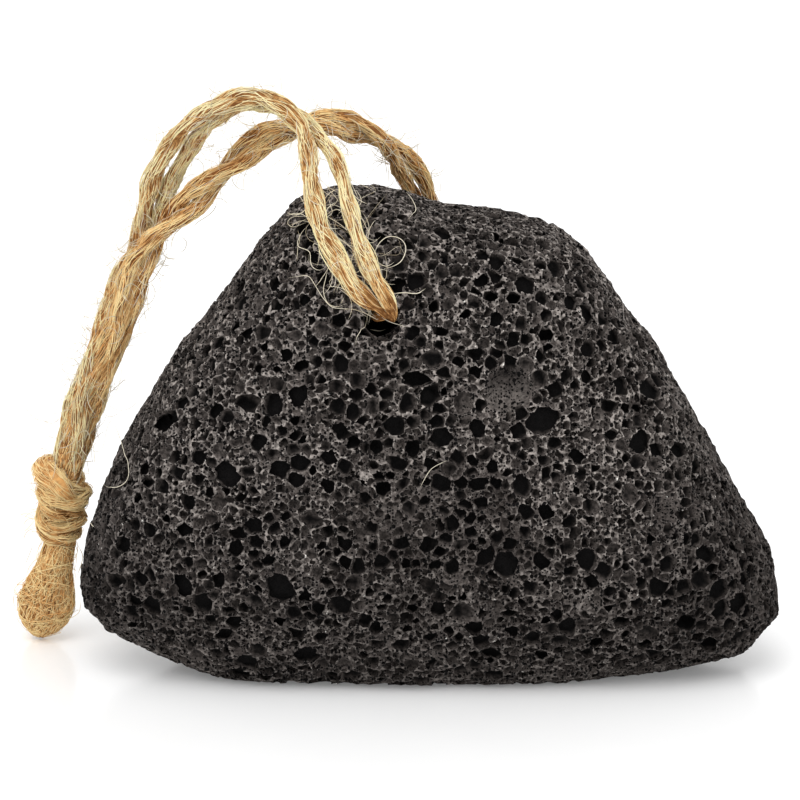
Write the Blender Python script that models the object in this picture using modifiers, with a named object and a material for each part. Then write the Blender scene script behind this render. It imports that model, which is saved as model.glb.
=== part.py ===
"""A black lava pumice stone with a hanging loop of doubled jute twine.

The stone is one solid: a pillow-shaped block with a slanting outline, a flat underside, the largest
gas pits and a hole drilled from front to back near its top. Two lengths of twine run through the
hole. Their front halves stand over the stone in an arch, their back halves wind round each other
behind it, and all four strands hang down beside the stone's left flank to a knot, whose fuzzy tail
stands on the ground.

Metres, +Z up. The origin lies under the middle of the stone, X along its width, +Y to its back.
"""

import math
import random

import bmesh
import bpy
from mathutils import Matrix, Vector, noise
from mathutils.bvhtree import BVHTree

# ---- Driving dimensions ---------------------------------------------------------------------------

STONE_WIDTH = 0.100
STONE_THICKNESS = 0.040
STONE_HEIGHT = 0.070
STONE_MIDDLE = Vector((0.0, 0.0, 0.031))  # where the outline is seen from when it is swept round
SIDE_FULLNESS = 2.6  # exponent of the section from front to back: 2 is an ellipse, more is boxier
SAWN_OFF = 0.002  # depth of the slice that leaves the underside flat
LUMP_HEIGHT = 0.0009
LUMP_WIDTH = 0.021

BORE_DIAMETER = 0.0056
BORE_FRONT = Vector((-0.0068, -0.018, 0.0552))  # the middle of the front mouth
BORE_BACK = Vector((-0.0010, 0.018, 0.0552))
BORE_SIDES = 20

TWINE_DIAMETER = 0.0019
GAP = 0.0003  # between neighbouring strands, and between a strand and the knot
STRAND_SHIFT = (TWINE_DIAMETER + GAP) / 2  # from the middle of a pair to each of its strands
WOUND_SHIFT = 1.1 * STRAND_SHIFT  # the same where strands wind round each other
WOUND_FROM = 0.0255  # length of the back pair, in and behind the stone, that isn't wound
HALF_TURN = 0.0126  # length in which the back pair, once wound, changes sides
TWINE_STEP = 0.0038  # spacing of the points along a strand
BUNDLE_TURN = math.radians(170)  # how far the four strands wind round each other on their way down

KNOT_MIDDLE = Vector((-0.0529, 0.0092, 0.0214))
KNOT_LEAN = Vector((-0.0024, 0.0016, -0.0142))  # from its crown to its underside
KNOT_HALF_HEIGHT = 0.0071
KNOT_RADIUS = 0.0040
WRAP_RADIUS = 0.0018

TAIL_TOP = Vector((-0.0541, 0.0100, 0.0138))
TAIL_TIP = Vector((-0.0564, 0.0112, 0.0001))
TAIL_FLATNESS = 0.74  # its depth as a share of its width

# ---- The stone's outline and its main pits ---------------------------------------------------------

# The outline of the stone seen square from the front, from the left corner over the top: x, z.
OUTLINE = [
    (-0.0502, 0.0124), (-0.0488, 0.0196), (-0.0458, 0.0285), (-0.0427, 0.0339), (-0.0381, 0.0425),
    (-0.0320, 0.0508), (-0.0275, 0.0575), (-0.0222, 0.0648), (-0.0190, 0.0680), (-0.0150, 0.0695),
    (-0.0117, 0.0700), (-0.0068, 0.0697), (-0.0025, 0.0686), (0.0020, 0.0673), (0.0072, 0.0670),
    (0.0115, 0.0659), (0.0158, 0.0645), (0.0188, 0.0628), (0.0237, 0.0581), (0.0286, 0.0514),
    (0.0328, 0.0462), (0.0378, 0.0371), (0.0414, 0.0308), (0.0458, 0.0218), (0.0489, 0.0163),
    (0.0505, 0.0109), (0.0492, 0.0060), (0.0452, 0.0026), (0.0377, 0.0006), (0.0274, -0.0012),
    (0.0080, -0.0020), (-0.0120, -0.0020), (-0.0290, -0.0013), (-0.0350, 0.0004),
    (-0.0409, 0.0031), (-0.0466, 0.0060), (-0.0494, 0.0088),
]

# The larger pits of the front face: x, z, width and height of the mouth, depth.
FRONT_PITS = [
    (0.0113, 0.0459, 0.0076, 0.0068, 0.0013),  # the broad shallow bowl
    (0.0161, 0.0531, 0.0028, 0.0026, 0.0022),
    (-0.0017, 0.0475, 0.0048, 0.0026, 0.0020),
    (0.0020, 0.0457, 0.0019, 0.0019, 0.0016),
    (-0.0076, 0.0688, 0.0028, 0.0026, 0.0018),
    (-0.0030, 0.0676, 0.0026, 0.0024, 0.0018),
    (0.0044, 0.0668, 0.0022, 0.0024, 0.0016),
    (0.0025, 0.0631, 0.0020, 0.0022, 0.0016),
    (0.0085, 0.0586, 0.0025, 0.0022, 0.0018),
    (0.0116, 0.0581, 0.0027, 0.0022, 0.0019),
    (0.0004, 0.0572, 0.0022, 0.0022, 0.0018),
    (0.0048, 0.0562, 0.0025, 0.0020, 0.0015),
    (0.0015, 0.0540, 0.0024, 0.0021, 0.0015),
    (-0.0178, 0.0491, 0.0028, 0.0020, 0.0018),
    (-0.0119, 0.0521, 0.0027, 0.0022, 0.0015),
    (-0.0124, 0.0554, 0.0026, 0.0024, 0.0016),
    (-0.0182, 0.0413, 0.0026, 0.0019, 0.0018),
    (-0.0106, 0.0388, 0.0024, 0.0022, 0.0018),
    (-0.0077, 0.0379, 0.0026, 0.0026, 0.0020),
    (-0.0024, 0.0377, 0.0026, 0.0029, 0.0020),
    (-0.0063, 0.0318, 0.0029, 0.0025, 0.0022),
    (0.0250, 0.0425, 0.0031, 0.0020, 0.0016),
    (0.0288, 0.0418, 0.0026, 0.0018, 0.0015),
    (0.0328, 0.0275, 0.0040, 0.0044, 0.0012),
    (0.0013, 0.0226, 0.0024, 0.0020, 0.0016),
    (-0.0024, 0.0139, 0.0025, 0.0022, 0.0018),
    (0.0112, 0.0131, 0.0030, 0.0018, 0.0015),
    (0.0271, 0.0116, 0.0029, 0.0024, 0.0022),
    (0.0235, 0.0081, 0.0027, 0.0026, 0.0022),
    (0.0304, 0.0078, 0.0027, 0.0024, 0.0022),
    (0.0361, 0.0110, 0.0032, 0.0028, 0.0024),
    (0.0396, 0.0066, 0.0031, 0.0034, 0.0024),
    (0.0088, 0.0064, 0.0034, 0.0026, 0.0018),
    (-0.0375, 0.0390, 0.0040, 0.0036, 0.0026),
    (-0.0281, 0.0133, 0.0026, 0.0021, 0.0016),
    (-0.0316, 0.0189, 0.0022, 0.0019, 0.0015),
    (-0.0394, 0.0305, 0.0024, 0.0020, 0.0016),
]
SCATTERED_PITS = 60  # the further pits, spread over the front, back, flanks and top
PIT_RADII = (0.0011, 0.0021)
PIT_WALL = 0.0005  # least thickness left between two pits
PIT_DEPTH_SHARE = 0.85  # a scattered pit's depth as a share of its radius
PIT_LIFT = 0.3  # how far a pit's egg stands out of the surface, as a share of the depth
PIT_SIDES = 9
WIDE_PIT = 0.0035  # a pit wider than this is rounder
WIDE_PIT_SIDES = 14
PIT_SEED = 7
CLEAR_CORNER = 0.0480  # beyond this x, and above CLEAR_TOP, the stone keeps its full reach
CLEAR_TOP = 0.0688
CLEAR_UNDERSIDE = 0.0035  # scattered pits keep at least this far above the flat underside

# ---- The twine's route -----------------------------------------------------------------------------

# Each strand from inside the hole to where the four strands meet.
FRONT_LEFT_ROUTE = [
    (-0.0050, -0.0003, 0.0554), (-0.0063, -0.0080, 0.0554), (-0.0074, -0.0146, 0.0554),
    (-0.0079, -0.0187, 0.0563), (-0.0086, -0.0208, 0.0590), (-0.0112, -0.0207, 0.0623),
    (-0.0129, -0.0193, 0.0654), (-0.0149, -0.0174, 0.0688), (-0.0160, -0.0152, 0.0722),
    (-0.0165, -0.0132, 0.0750), (-0.0168, -0.0110, 0.0784), (-0.0178, -0.0097, 0.0818),
    (-0.0199, -0.0088, 0.0837), (-0.0225, -0.0079, 0.0850), (-0.0256, -0.0067, 0.0850),
    (-0.0291, -0.0048, 0.0834), (-0.0327, -0.0026, 0.0807), (-0.0360, -0.0006, 0.0771),
    (-0.0378, 0.0007, 0.0740), (-0.0389, 0.0016, 0.0707), (-0.0401, 0.0021, 0.0672),
    (-0.0406, 0.0021, 0.0636),
]
FRONT_RIGHT_ROUTE = [
    (-0.0028, -0.0003, 0.0554), (-0.0041, -0.0080, 0.0554), (-0.0052, -0.0148, 0.0554),
    (-0.0056, -0.0189, 0.0564), (-0.0059, -0.0209, 0.0595), (-0.0080, -0.0204, 0.0633),
    (-0.0097, -0.0183, 0.0672), (-0.0110, -0.0158, 0.0710), (-0.0120, -0.0132, 0.0744),
    (-0.0130, -0.0108, 0.0770), (-0.0152, -0.0083, 0.0792), (-0.0171, -0.0067, 0.0812),
    (-0.0194, -0.0058, 0.0828), (-0.0222, -0.0051, 0.0835), (-0.0255, -0.0040, 0.0832),
    (-0.0289, -0.0024, 0.0815), (-0.0313, -0.0006, 0.0789), (-0.0336, 0.0008, 0.0758),
    (-0.0352, 0.0017, 0.0729), (-0.0366, 0.0024, 0.0700), (-0.0377, 0.0028, 0.0667),
    (-0.0385, 0.0026, 0.0636),
]
# The middle of the back pair, from inside the hole to where the four strands meet.
BACK_ROUTE = [
    (-0.0039, 0.0003, 0.0554), (-0.0025, 0.0085, 0.0554), (-0.0014, 0.0152, 0.0554),
    (-0.0007, 0.0192, 0.0565), (-0.0004, 0.0211, 0.0597), (-0.0009, 0.0200, 0.0637),
    (-0.0024, 0.0172, 0.0679), (-0.0042, 0.0145, 0.0711), (-0.0061, 0.0116, 0.0737),
    (-0.0096, 0.0086, 0.0764), (-0.0134, 0.0056, 0.0782), (-0.0172, 0.0032, 0.0787),
    (-0.0205, 0.0014, 0.0780), (-0.0240, 0.0000, 0.0769), (-0.0276, -0.0010, 0.0739),
    (-0.0312, -0.0017, 0.0706), (-0.0343, -0.0021, 0.0679), (-0.0368, -0.0020, 0.0655),
    (-0.0390, -0.0015, 0.0627),
]
# The middle of the bundle of four, down beside the stone to the crown of the knot.
BUNDLE_ROUTE = [
    (-0.0408, 0.0003, 0.0594), (-0.0424, 0.0007, 0.0562), (-0.0436, 0.0013, 0.0522),
    (-0.0448, 0.0020, 0.0487), (-0.0461, 0.0030, 0.0454), (-0.0473, 0.0041, 0.0421),
    (-0.0485, 0.0052, 0.0390), (-0.0496, 0.0062, 0.0357), (-0.0505, 0.0071, 0.0325),
    (-0.0512, 0.0079, 0.0297),
]
# Where each strand lies in the bundle, in steps of WOUND_SHIFT to the right and to the back.
BUNDLE_PLACES = {
    "front_strand_left": (-1, 1),
    "front_strand_right": (1, 1),
    "back_strand_left": (1, -1),
    "back_strand_right": (-1, -1),
}

# Half-width of the tail at shares of its length, from the neck under the knot to the tip.
TAIL_PROFILE = [
    (0.00, 0.0), (0.00, 0.0024), (0.06, 0.0029), (0.18, 0.0028), (0.30, 0.0030), (0.42, 0.0036),
    (0.54, 0.0041), (0.66, 0.0042), (0.78, 0.0038), (0.88, 0.0028), (0.96, 0.0014), (1.00, 0.0),
]
TAIL_SIDES = 16

# Colour (linear) and roughness of each finish.
FINISHES = {
    "lava": ((0.045, 0.042, 0.041), 0.93),
    "pale jute": ((0.62, 0.44, 0.21), 0.85),
    "brown jute": ((0.48, 0.29, 0.12), 0.88),
    "knotted jute": ((0.55, 0.37, 0.16), 0.88),
    "frayed jute": ((0.46, 0.28, 0.12), 0.92),
}


# ---- Scene and objects -----------------------------------------------------------------------------


def clear_scene():
    for item in list(bpy.data.objects):
        bpy.data.objects.remove(item, do_unlink=True)


def new_collection(name):
    collection = bpy.data.collections.new(name)
    bpy.context.scene.collection.children.link(collection)
    return collection


def principled(name):
    colour, roughness = FINISHES[name]
    material = bpy.data.materials.new(name)
    material.use_nodes = True
    shader = material.node_tree.nodes["Principled BSDF"]
    shader.inputs["Base Color"].default_value = (*colour, 1.0)
    shader.inputs["Roughness"].default_value = roughness
    shader.inputs["Metallic"].default_value = 0.0
    return material


def mesh_object(name, bm, collection):
    mesh = bpy.data.meshes.new(name)
    bmesh.ops.recalc_face_normals(bm, faces=bm.faces)
    bm.to_mesh(mesh)
    bm.free()
    made = bpy.data.objects.new(name, mesh)
    collection.objects.link(made)
    return made


def as_cutter(made):
    made.hide_render = True
    made.display_type = "WIRE"
    return made


def boolean(made, cutter, operation):
    modifier = made.modifiers.new(f"{operation.lower()} {cutter.name}", "BOOLEAN")
    modifier.operation = operation
    modifier.solver = "EXACT"
    modifier.object = cutter


# ---- Smooth curves ---------------------------------------------------------------------------------


def curve_through(points, steps=12, closed=False):
    """Dense points on a Catmull-Rom curve through the given ones."""
    points = [Vector(point) for point in points]
    if closed:
        knots = [points[-1], *points, points[0], points[1]]
    else:
        knots = [2 * points[0] - points[1], *points, 2 * points[-1] - points[-2]]
    dense = []
    for a, b, c, d in zip(knots, knots[1:], knots[2:], knots[3:], strict=False):
        for step in range(steps):
            t = step / steps
            dense.append(
                0.5 * (2 * b + (c - a) * t + (2 * a - 5 * b + 4 * c - d) * t**2)
                + 0.5 * (3 * b - a - 3 * c + d) * t**3
            )
    return dense if closed else [*dense, points[-1]]


def evenly_spaced(points, spacing):
    """The same line again, with points at equal steps of about the given spacing."""
    reached = [0.0]
    for a, b in zip(points, points[1:], strict=False):
        reached.append(reached[-1] + (b - a).length)
    count = max(2, round(reached[-1] / spacing))
    spaced, i = [], 0
    for step in range(count + 1):
        wanted = reached[-1] * step / count
        while i < len(points) - 2 and reached[i + 1] < wanted:
            i += 1
        share = (wanted - reached[i]) / (reached[i + 1] - reached[i])
        spaced.append(points[i].lerp(points[i + 1], share))
    return spaced


# ---- The stone -------------------------------------------------------------------------------------


def outline_reach():
    """A function giving how far the outline lies from the stone's middle in a direction."""
    middle = Vector((STONE_MIDDLE.x, STONE_MIDDLE.z))
    spokes = [point - middle for point in curve_through(OUTLINE, closed=True)]
    polar = sorted((math.atan2(spoke.y, spoke.x), spoke.length) for spoke in spokes)
    first, last = polar[0], polar[-1]
    polar = [(last[0] - math.tau, last[1]), *polar, (first[0] + math.tau, first[1])]

    def reach(angle):
        for (low, near), (high, far) in zip(polar, polar[1:], strict=False):
            if low <= angle <= high:
                return near + (far - near) * (angle - low) / (high - low)
        return polar[0][1]

    return reach


def shape_body(bm):
    """Moves the points of a round ball out to the stone's pillow shape, with low lumps."""
    reach = outline_reach()
    power = 2 / SIDE_FULLNESS
    for vertex in bm.verts:
        ball = vertex.co.normalized()
        across = math.hypot(ball.x, ball.z)
        spread = across**power * reach(math.atan2(ball.z, ball.x))
        depth = math.copysign(abs(ball.y) ** power, ball.y) * STONE_THICKNESS / 2
        across = max(across, 1e-6)
        place = Vector((ball.x / across * spread, depth, ball.z / across * spread))
        lump = noise.noise(place / LUMP_WIDTH) + 0.35 * noise.noise(3 * place / LUMP_WIDTH)
        vertex.co = STONE_MIDDLE + place + ball * (lump * LUMP_HEIGHT)


def fit_to_size(bm):
    """Stretches the body slightly, so that it has exactly its driving dimensions."""
    low, high = (
        Vector(extreme(vertex.co[axis] for vertex in bm.verts) for axis in range(3))
        for extreme in (min, max)
    )
    size = Vector((STONE_WIDTH, STONE_THICKNESS, STONE_HEIGHT + SAWN_OFF))
    bottom = Vector((-STONE_WIDTH / 2, -STONE_THICKNESS / 2, -SAWN_OFF))
    for vertex in bm.verts:
        for axis in range(3):
            share = (vertex.co[axis] - low[axis]) / (high[axis] - low[axis])
            vertex.co[axis] = bottom[axis] + share * size[axis]


def saw_flat(bm):
    """Cuts the body off at the ground and closes the cut with one flat face."""
    cut = bmesh.ops.bisect_plane(
        bm,
        geom=[*bm.verts, *bm.edges, *bm.faces],
        plane_co=(0, 0, 0),
        plane_no=(0, 0, -1),
        clear_outer=True,
    )
    rim = [item for item in cut["geom_cut"] if isinstance(item, bmesh.types.BMEdge)]
    bmesh.ops.contextual_create(bm, geom=rim)


def standing(upward, across=(1, 0, 0)):
    """A rotation that turns Z to the given direction and keeps X as near as it can to across."""
    up = upward.normalized()
    back = up.cross(Vector(across)).normalized()
    return Matrix((back.cross(up), back, up)).transposed().to_4x4()


def add_pit(bm, place, outward, width, height, depth):
    """Adds one egg-shaped pit to the cutter, its mouth centred on the surface at place."""
    across = Vector((0, 0, 1)).cross(outward)
    turn = standing(outward, across if across.length > 0.2 else (1, 0, 0))
    size = Matrix.Diagonal((width / 2, height / 2, depth * (1 + PIT_LIFT), 1))
    bmesh.ops.create_uvsphere(
        bm,
        u_segments=WIDE_PIT_SIDES if width > WIDE_PIT else PIT_SIDES,
        v_segments=4,
        radius=1,
        matrix=Matrix.Translation(place + outward * depth * PIT_LIFT) @ turn @ size,
    )


def far_from_bore(place, reach):
    along = (BORE_BACK - BORE_FRONT).normalized()
    off_axis = (place - BORE_FRONT).cross(along).length
    return off_axis > BORE_DIAMETER / 2 + reach + PIT_WALL


def front_pits(surface):
    """Yields place, outward normal and sizes of each named pit, found on the front face."""
    for x, z, width, height, depth in FRONT_PITS:
        place, outward, _, _ = surface.ray_cast(Vector((x, -1, z)), Vector((0, 1, 0)))
        yield place, outward, width, height, depth


def scattered_pits(bm, taken):
    """Yields further pits, spread at random over the whole stone but its underside and corners."""
    draw = random.Random(PIT_SEED)
    faces = [face for face in bm.faces if face.normal.z > -0.75]
    areas = [face.calc_area() for face in faces]
    left = SCATTERED_PITS
    while left:
        face = draw.choices(faces, areas)[0]
        shares = [draw.random() + 0.05 for _ in face.verts]
        place = sum((v.co * s for v, s in zip(face.verts, shares, strict=True)), Vector())
        place /= sum(shares)
        radius = draw.uniform(*PIT_RADII)
        stretch = draw.uniform(0.82, 1.22)
        reach = radius * max(stretch, 1 / stretch) * 1.1
        clear = (
            place.z > CLEAR_UNDERSIDE + reach
            and place.z < CLEAR_TOP
            and abs(place.x) < CLEAR_CORNER - reach
            and far_from_bore(place, reach)
            and all((place - other).length > reach + size + PIT_WALL for other, size in taken)
        )
        if clear:
            left -= 1
            taken.append((place, reach))
            yield (
                place,
                face.normal.copy(),
                2 * radius * stretch,
                2 * radius / stretch,
                PIT_DEPTH_SHARE * radius,
            )


def make_pits(body, cutters):
    """One cutter holding every pit; no two of them touch."""
    surface = BVHTree.FromBMesh(body)
    bm = bmesh.new()
    taken = []
    for place, outward, width, height, depth in front_pits(surface):
        taken.append((place, max(width, height) / 2 * 1.08))
        add_pit(bm, place, outward, width, height, depth)
    for pit in scattered_pits(body, taken):
        add_pit(bm, *pit)
    return as_cutter(mesh_object("pits", bm, cutters))


def make_bore(cutters):
    """The drilled hole's cutter, longer than the stone is thick."""
    along = BORE_BACK - BORE_FRONT
    bm = bmesh.new()
    bmesh.ops.create_cone(
        bm,
        cap_ends=True,
        segments=BORE_SIDES,
        radius1=BORE_DIAMETER / 2,
        radius2=BORE_DIAMETER / 2,
        depth=2 * along.length,
        matrix=Matrix.Translation((BORE_FRONT + BORE_BACK) / 2) @ standing(along),
    )
    return as_cutter(mesh_object("bore", bm, cutters))


def make_stone(parts, cutters):
    bm = bmesh.new()
    bmesh.ops.create_icosphere(bm, subdivisions=4, radius=1)
    shape_body(bm)
    fit_to_size(bm)
    saw_flat(bm)
    bm.normal_update()
    pits = make_pits(bm, cutters)
    stone = mesh_object("stone", bm, parts)
    boolean(stone, pits, "DIFFERENCE")
    boolean(stone, make_bore(cutters), "DIFFERENCE")
    stone.data.materials.append(principled("lava"))
    return stone


# ---- The twine -------------------------------------------------------------------------------------


def frames_along(points, first_side):
    """A sideways and an upright direction square to the line at each point, with no twist."""
    side = Vector(first_side)
    frames = []
    for i in range(len(points)):
        ahead = points[min(i + 1, len(points) - 1)] - points[max(i - 1, 0)]
        ahead.normalize()
        side = (side - ahead * side.dot(ahead)).normalized()
        frames.append((side, ahead.cross(side)))
    return frames


def winding(length):
    """The angle that the back pair has turned through, which builds up gently over one half turn."""
    wound = max(0.0, length - WOUND_FROM) / HALF_TURN
    return math.pi * (wound**2 / 2 if wound < 1 else wound - 0.5)


def wound_strand(end):
    """One strand of the back pair, end being 1 or -1: it winds round the pair's middle line."""
    middle = evenly_spaced(curve_through(BACK_ROUTE), TWINE_STEP)
    strand = []
    for i, (side, upright) in enumerate(frames_along(middle, (1, 0, 0))):
        point, angle = middle[i], winding(i * TWINE_STEP)
        shift = side * math.cos(angle) + upright * math.sin(angle)
        strand.append(point + end * WOUND_SHIFT * shift)
    return strand


def bundle_part(name):
    """The strand's way down the bundle, in which the four strands wind slowly round each other."""
    middle = [Vector(point) for point in BUNDLE_ROUTE]
    across, back = BUNDLE_PLACES[name]
    part = []
    for i, (side, upright) in enumerate(frames_along(middle, (1, 0, 0))):
        turned = BUNDLE_TURN * i / (len(middle) - 1)
        right = side * math.cos(turned) - upright * math.sin(turned)
        rear = -side * math.sin(turned) - upright * math.cos(turned)
        part.append(middle[i] + WOUND_SHIFT * (across * right + back * rear))
    return part


def make_strand(name, route, finish, parts):
    line = evenly_spaced(curve_through([*route, *bundle_part(name)]), TWINE_STEP)
    curve = bpy.data.curves.new(name, "CURVE")
    curve.dimensions = "3D"
    curve.bevel_depth = TWINE_DIAMETER / 2
    curve.bevel_resolution = 2
    curve.use_fill_caps = True
    spline = curve.splines.new("POLY")
    spline.points.add(len(line) - 1)
    for point, place in zip(spline.points, line, strict=True):
        point.co = (*place, 1)
    strand = bpy.data.objects.new(name, curve)
    parts.objects.link(strand)
    curve.materials.append(principled(finish))
    return strand


def make_wrap(name, height, lean, shift, cutters):
    """A ring of twine lying round the knot, at a height along it and leaning sideways."""
    bpy.ops.mesh.primitive_torus_add(
        major_segments=16,
        minor_segments=8,
        major_radius=KNOT_RADIUS - WRAP_RADIUS,
        minor_radius=WRAP_RADIUS,
    )
    wrap = bpy.context.object
    wrap.name = name
    for collection in list(wrap.users_collection):
        collection.objects.unlink(wrap)
    cutters.objects.link(wrap)
    wrap.matrix_world = (
        Matrix.Translation(KNOT_MIDDLE)
        @ standing(-KNOT_LEAN)
        @ Matrix.Translation((shift, 0, height))
        @ Matrix.Rotation(lean, 4, "Y")
    )
    return as_cutter(wrap)


def make_knot(parts, cutters):
    """The knot: a core with a slanting crown wrap, a level middle wrap and a lower wrap."""
    size = Matrix.Diagonal((0.82 * KNOT_RADIUS, 0.8 * KNOT_RADIUS, KNOT_HALF_HEIGHT, 1))
    bm = bmesh.new()
    bmesh.ops.create_uvsphere(
        bm,
        u_segments=14,
        v_segments=10,
        radius=1,
        matrix=Matrix.Translation(KNOT_MIDDLE) @ standing(-KNOT_LEAN) @ size,
    )
    knot = mesh_object("knot", bm, parts)
    spacing = 0.47 * KNOT_HALF_HEIGHT
    boolean(knot, make_wrap("crown wrap", spacing, math.radians(26), -0.0004, cutters), "UNION")
    boolean(knot, make_wrap("middle wrap", 0.0, math.radians(-5), 0.0, cutters), "UNION")
    boolean(knot, make_wrap("lower wrap", -spacing, math.radians(9), 0.0001, cutters), "UNION")
    knot.data.materials.append(principled("knotted jute"))
    return knot


def make_tail(parts):
    """The folded end under the knot: a turned drop, flattened from front to back."""
    length = (TAIL_TIP - TAIL_TOP).length
    profile = bmesh.new()
    corners = [profile.verts.new((width, 0, -share * length)) for share, width in TAIL_PROFILE]
    for a, b in zip(corners, corners[1:], strict=False):
        profile.edges.new((a, b))
    mesh = bpy.data.meshes.new("tail")
    profile.to_mesh(mesh)
    profile.free()
    tail = bpy.data.objects.new("tail", mesh)
    parts.objects.link(tail)
    turned = tail.modifiers.new("turned", "SCREW")
    turned.steps = turned.render_steps = TAIL_SIDES
    turned.use_merge_vertices = True
    turned.merge_threshold = 0.00001
    flat = Matrix.Diagonal((1, TAIL_FLATNESS, 1, 1))
    tail.matrix_world = Matrix.Translation(TAIL_TOP) @ standing(TAIL_TOP - TAIL_TIP) @ flat
    mesh.materials.append(principled("frayed jute"))
    return tail


def shade_smooth(made, angle):
    made.data.shade_smooth()
    made.data.set_sharp_from_angle(angle=angle)


def main():
    clear_scene()
    parts = new_collection("pumice stone")
    cutters = new_collection("cutters")
    stone = make_stone(parts, cutters)
    make_strand("front_strand_left", FRONT_LEFT_ROUTE, "pale jute", parts)
    make_strand("front_strand_right", FRONT_RIGHT_ROUTE, "pale jute", parts)
    make_strand("back_strand_left", wound_strand(-1), "brown jute", parts)
    make_strand("back_strand_right", wound_strand(1), "brown jute", parts)
    knot = make_knot(parts, cutters)
    make_tail(parts)
    shade_smooth(stone, math.radians(35))
    shade_smooth(knot, math.radians(50))


main()
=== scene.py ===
"""Dresses the pumice stone: its foam of gas pits, its hanging loop of jute twine and the studio.

Everything is in metres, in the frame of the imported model: +Z up, X along the stone's width, +Y to
its back. The stone is carved in a voxel field made from its solid, and the twine is laid fibre by
fibre along the routes of its cords.
"""

import logging
import math
from collections.abc import Callable, Iterable, Sequence
from dataclasses import dataclass, field
from enum import Enum
from itertools import permutations, product

import bpy
import numpy as np
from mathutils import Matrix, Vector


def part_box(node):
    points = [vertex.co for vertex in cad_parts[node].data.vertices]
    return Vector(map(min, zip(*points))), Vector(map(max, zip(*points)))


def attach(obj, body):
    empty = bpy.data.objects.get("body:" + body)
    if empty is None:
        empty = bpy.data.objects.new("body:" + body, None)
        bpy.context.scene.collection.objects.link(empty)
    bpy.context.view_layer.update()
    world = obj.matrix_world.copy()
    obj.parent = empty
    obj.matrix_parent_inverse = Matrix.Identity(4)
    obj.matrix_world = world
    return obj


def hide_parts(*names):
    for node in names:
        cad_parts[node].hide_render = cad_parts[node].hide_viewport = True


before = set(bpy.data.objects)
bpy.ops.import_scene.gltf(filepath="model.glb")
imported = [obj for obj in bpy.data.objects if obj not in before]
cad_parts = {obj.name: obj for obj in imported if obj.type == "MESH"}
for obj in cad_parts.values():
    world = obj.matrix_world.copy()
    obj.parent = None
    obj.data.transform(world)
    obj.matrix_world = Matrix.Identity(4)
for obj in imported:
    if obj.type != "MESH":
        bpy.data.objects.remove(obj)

import openvdb
from mathutils import Matrix, Vector
from mathutils.bvhtree import BVHTree

log = logging.getLogger("pumice stone")

MM = 0.001
BODY = "root"
ACROSS = (1, 0, 0)
Span = tuple[float, float]
Colour = tuple[float, float, float]
Socket = bpy.types.NodeSocket
NOISE_MIDDLE = (0.3, 0.7)  # most values of a noise lie between these

# ---- Lines ----


def curve_through(points: Sequence[Sequence[float]], steps: int = 12) -> np.ndarray:
    """Draws a smooth line through a few points.

    Args:
        points: the points of the route, in metres.
        steps: how many pieces each stretch between two of them is cut into.

    Returns:
        The dense points of a Catmull-Rom curve, one row each.
    """
    route = np.asarray(points, dtype=float)
    knots = np.vstack([2 * route[0] - route[1], route, 2 * route[-1] - route[-2]])
    dense = []
    for a, b, c, d in zip(knots, knots[1:], knots[2:], knots[3:], strict=False):
        for step in range(steps):
            t = step / steps
            even = 2 * b + (c - a) * t + (2 * a - 5 * b + 4 * c - d) * t**2
            dense.append(0.5 * even + 0.5 * (3 * b - a - 3 * c + d) * t**3)
    return np.vstack([*dense, route[-1]])


def length_of(line: np.ndarray) -> float:
    """Measures a line, in metres."""
    return float(np.linalg.norm(np.diff(line, axis=0), axis=1).sum())


def evenly_spaced(line: np.ndarray, spacing: float) -> np.ndarray:
    """Puts points at equal steps along a line.

    Args:
        line: its points, one row each.
        spacing: the wanted distance between two of the new points.

    Returns:
        The new points, from the line's first to its last.
    """
    reached = np.concatenate([[0.0], np.cumsum(np.linalg.norm(np.diff(line, axis=0), axis=1))])
    count = max(2, round(reached[-1] / spacing))
    wanted = np.linspace(0.0, reached[-1], count + 1)
    return np.column_stack([np.interp(wanted, reached, line[:, axis]) for axis in range(3)])


def unit(vectors: np.ndarray) -> np.ndarray:
    """Scales each row to a length of one."""
    return vectors / np.maximum(np.linalg.norm(vectors, axis=-1, keepdims=True), 1e-12)


def eased(part: np.ndarray) -> np.ndarray:
    """Eases a share of 0 to 1, so that it starts and ends without a jolt."""
    return part * part * (3.0 - 2.0 * part)


def frames_along(line: np.ndarray, first_side: Sequence[float]) -> tuple[np.ndarray, np.ndarray]:
    """Carries a sideways and an upright direction along a line without twist.

    Args:
        line: its points, one row each.
        first_side: the sideways direction at its start.

    Returns:
        The sideways directions and the upright ones, both square to the line.
    """
    ahead = np.vstack([line[1] - line[0], line[2:] - line[:-2], line[-1] - line[-2]])
    ahead = unit(ahead)
    side = np.asarray(first_side, dtype=float)
    sides = []
    for direction in ahead:
        side = side - direction * np.dot(side, direction)
        side = side / np.linalg.norm(side)
        sides.append(side)
    sides = np.array(sides)
    return sides, np.cross(ahead, sides)


# ---- Meshes ----


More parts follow.
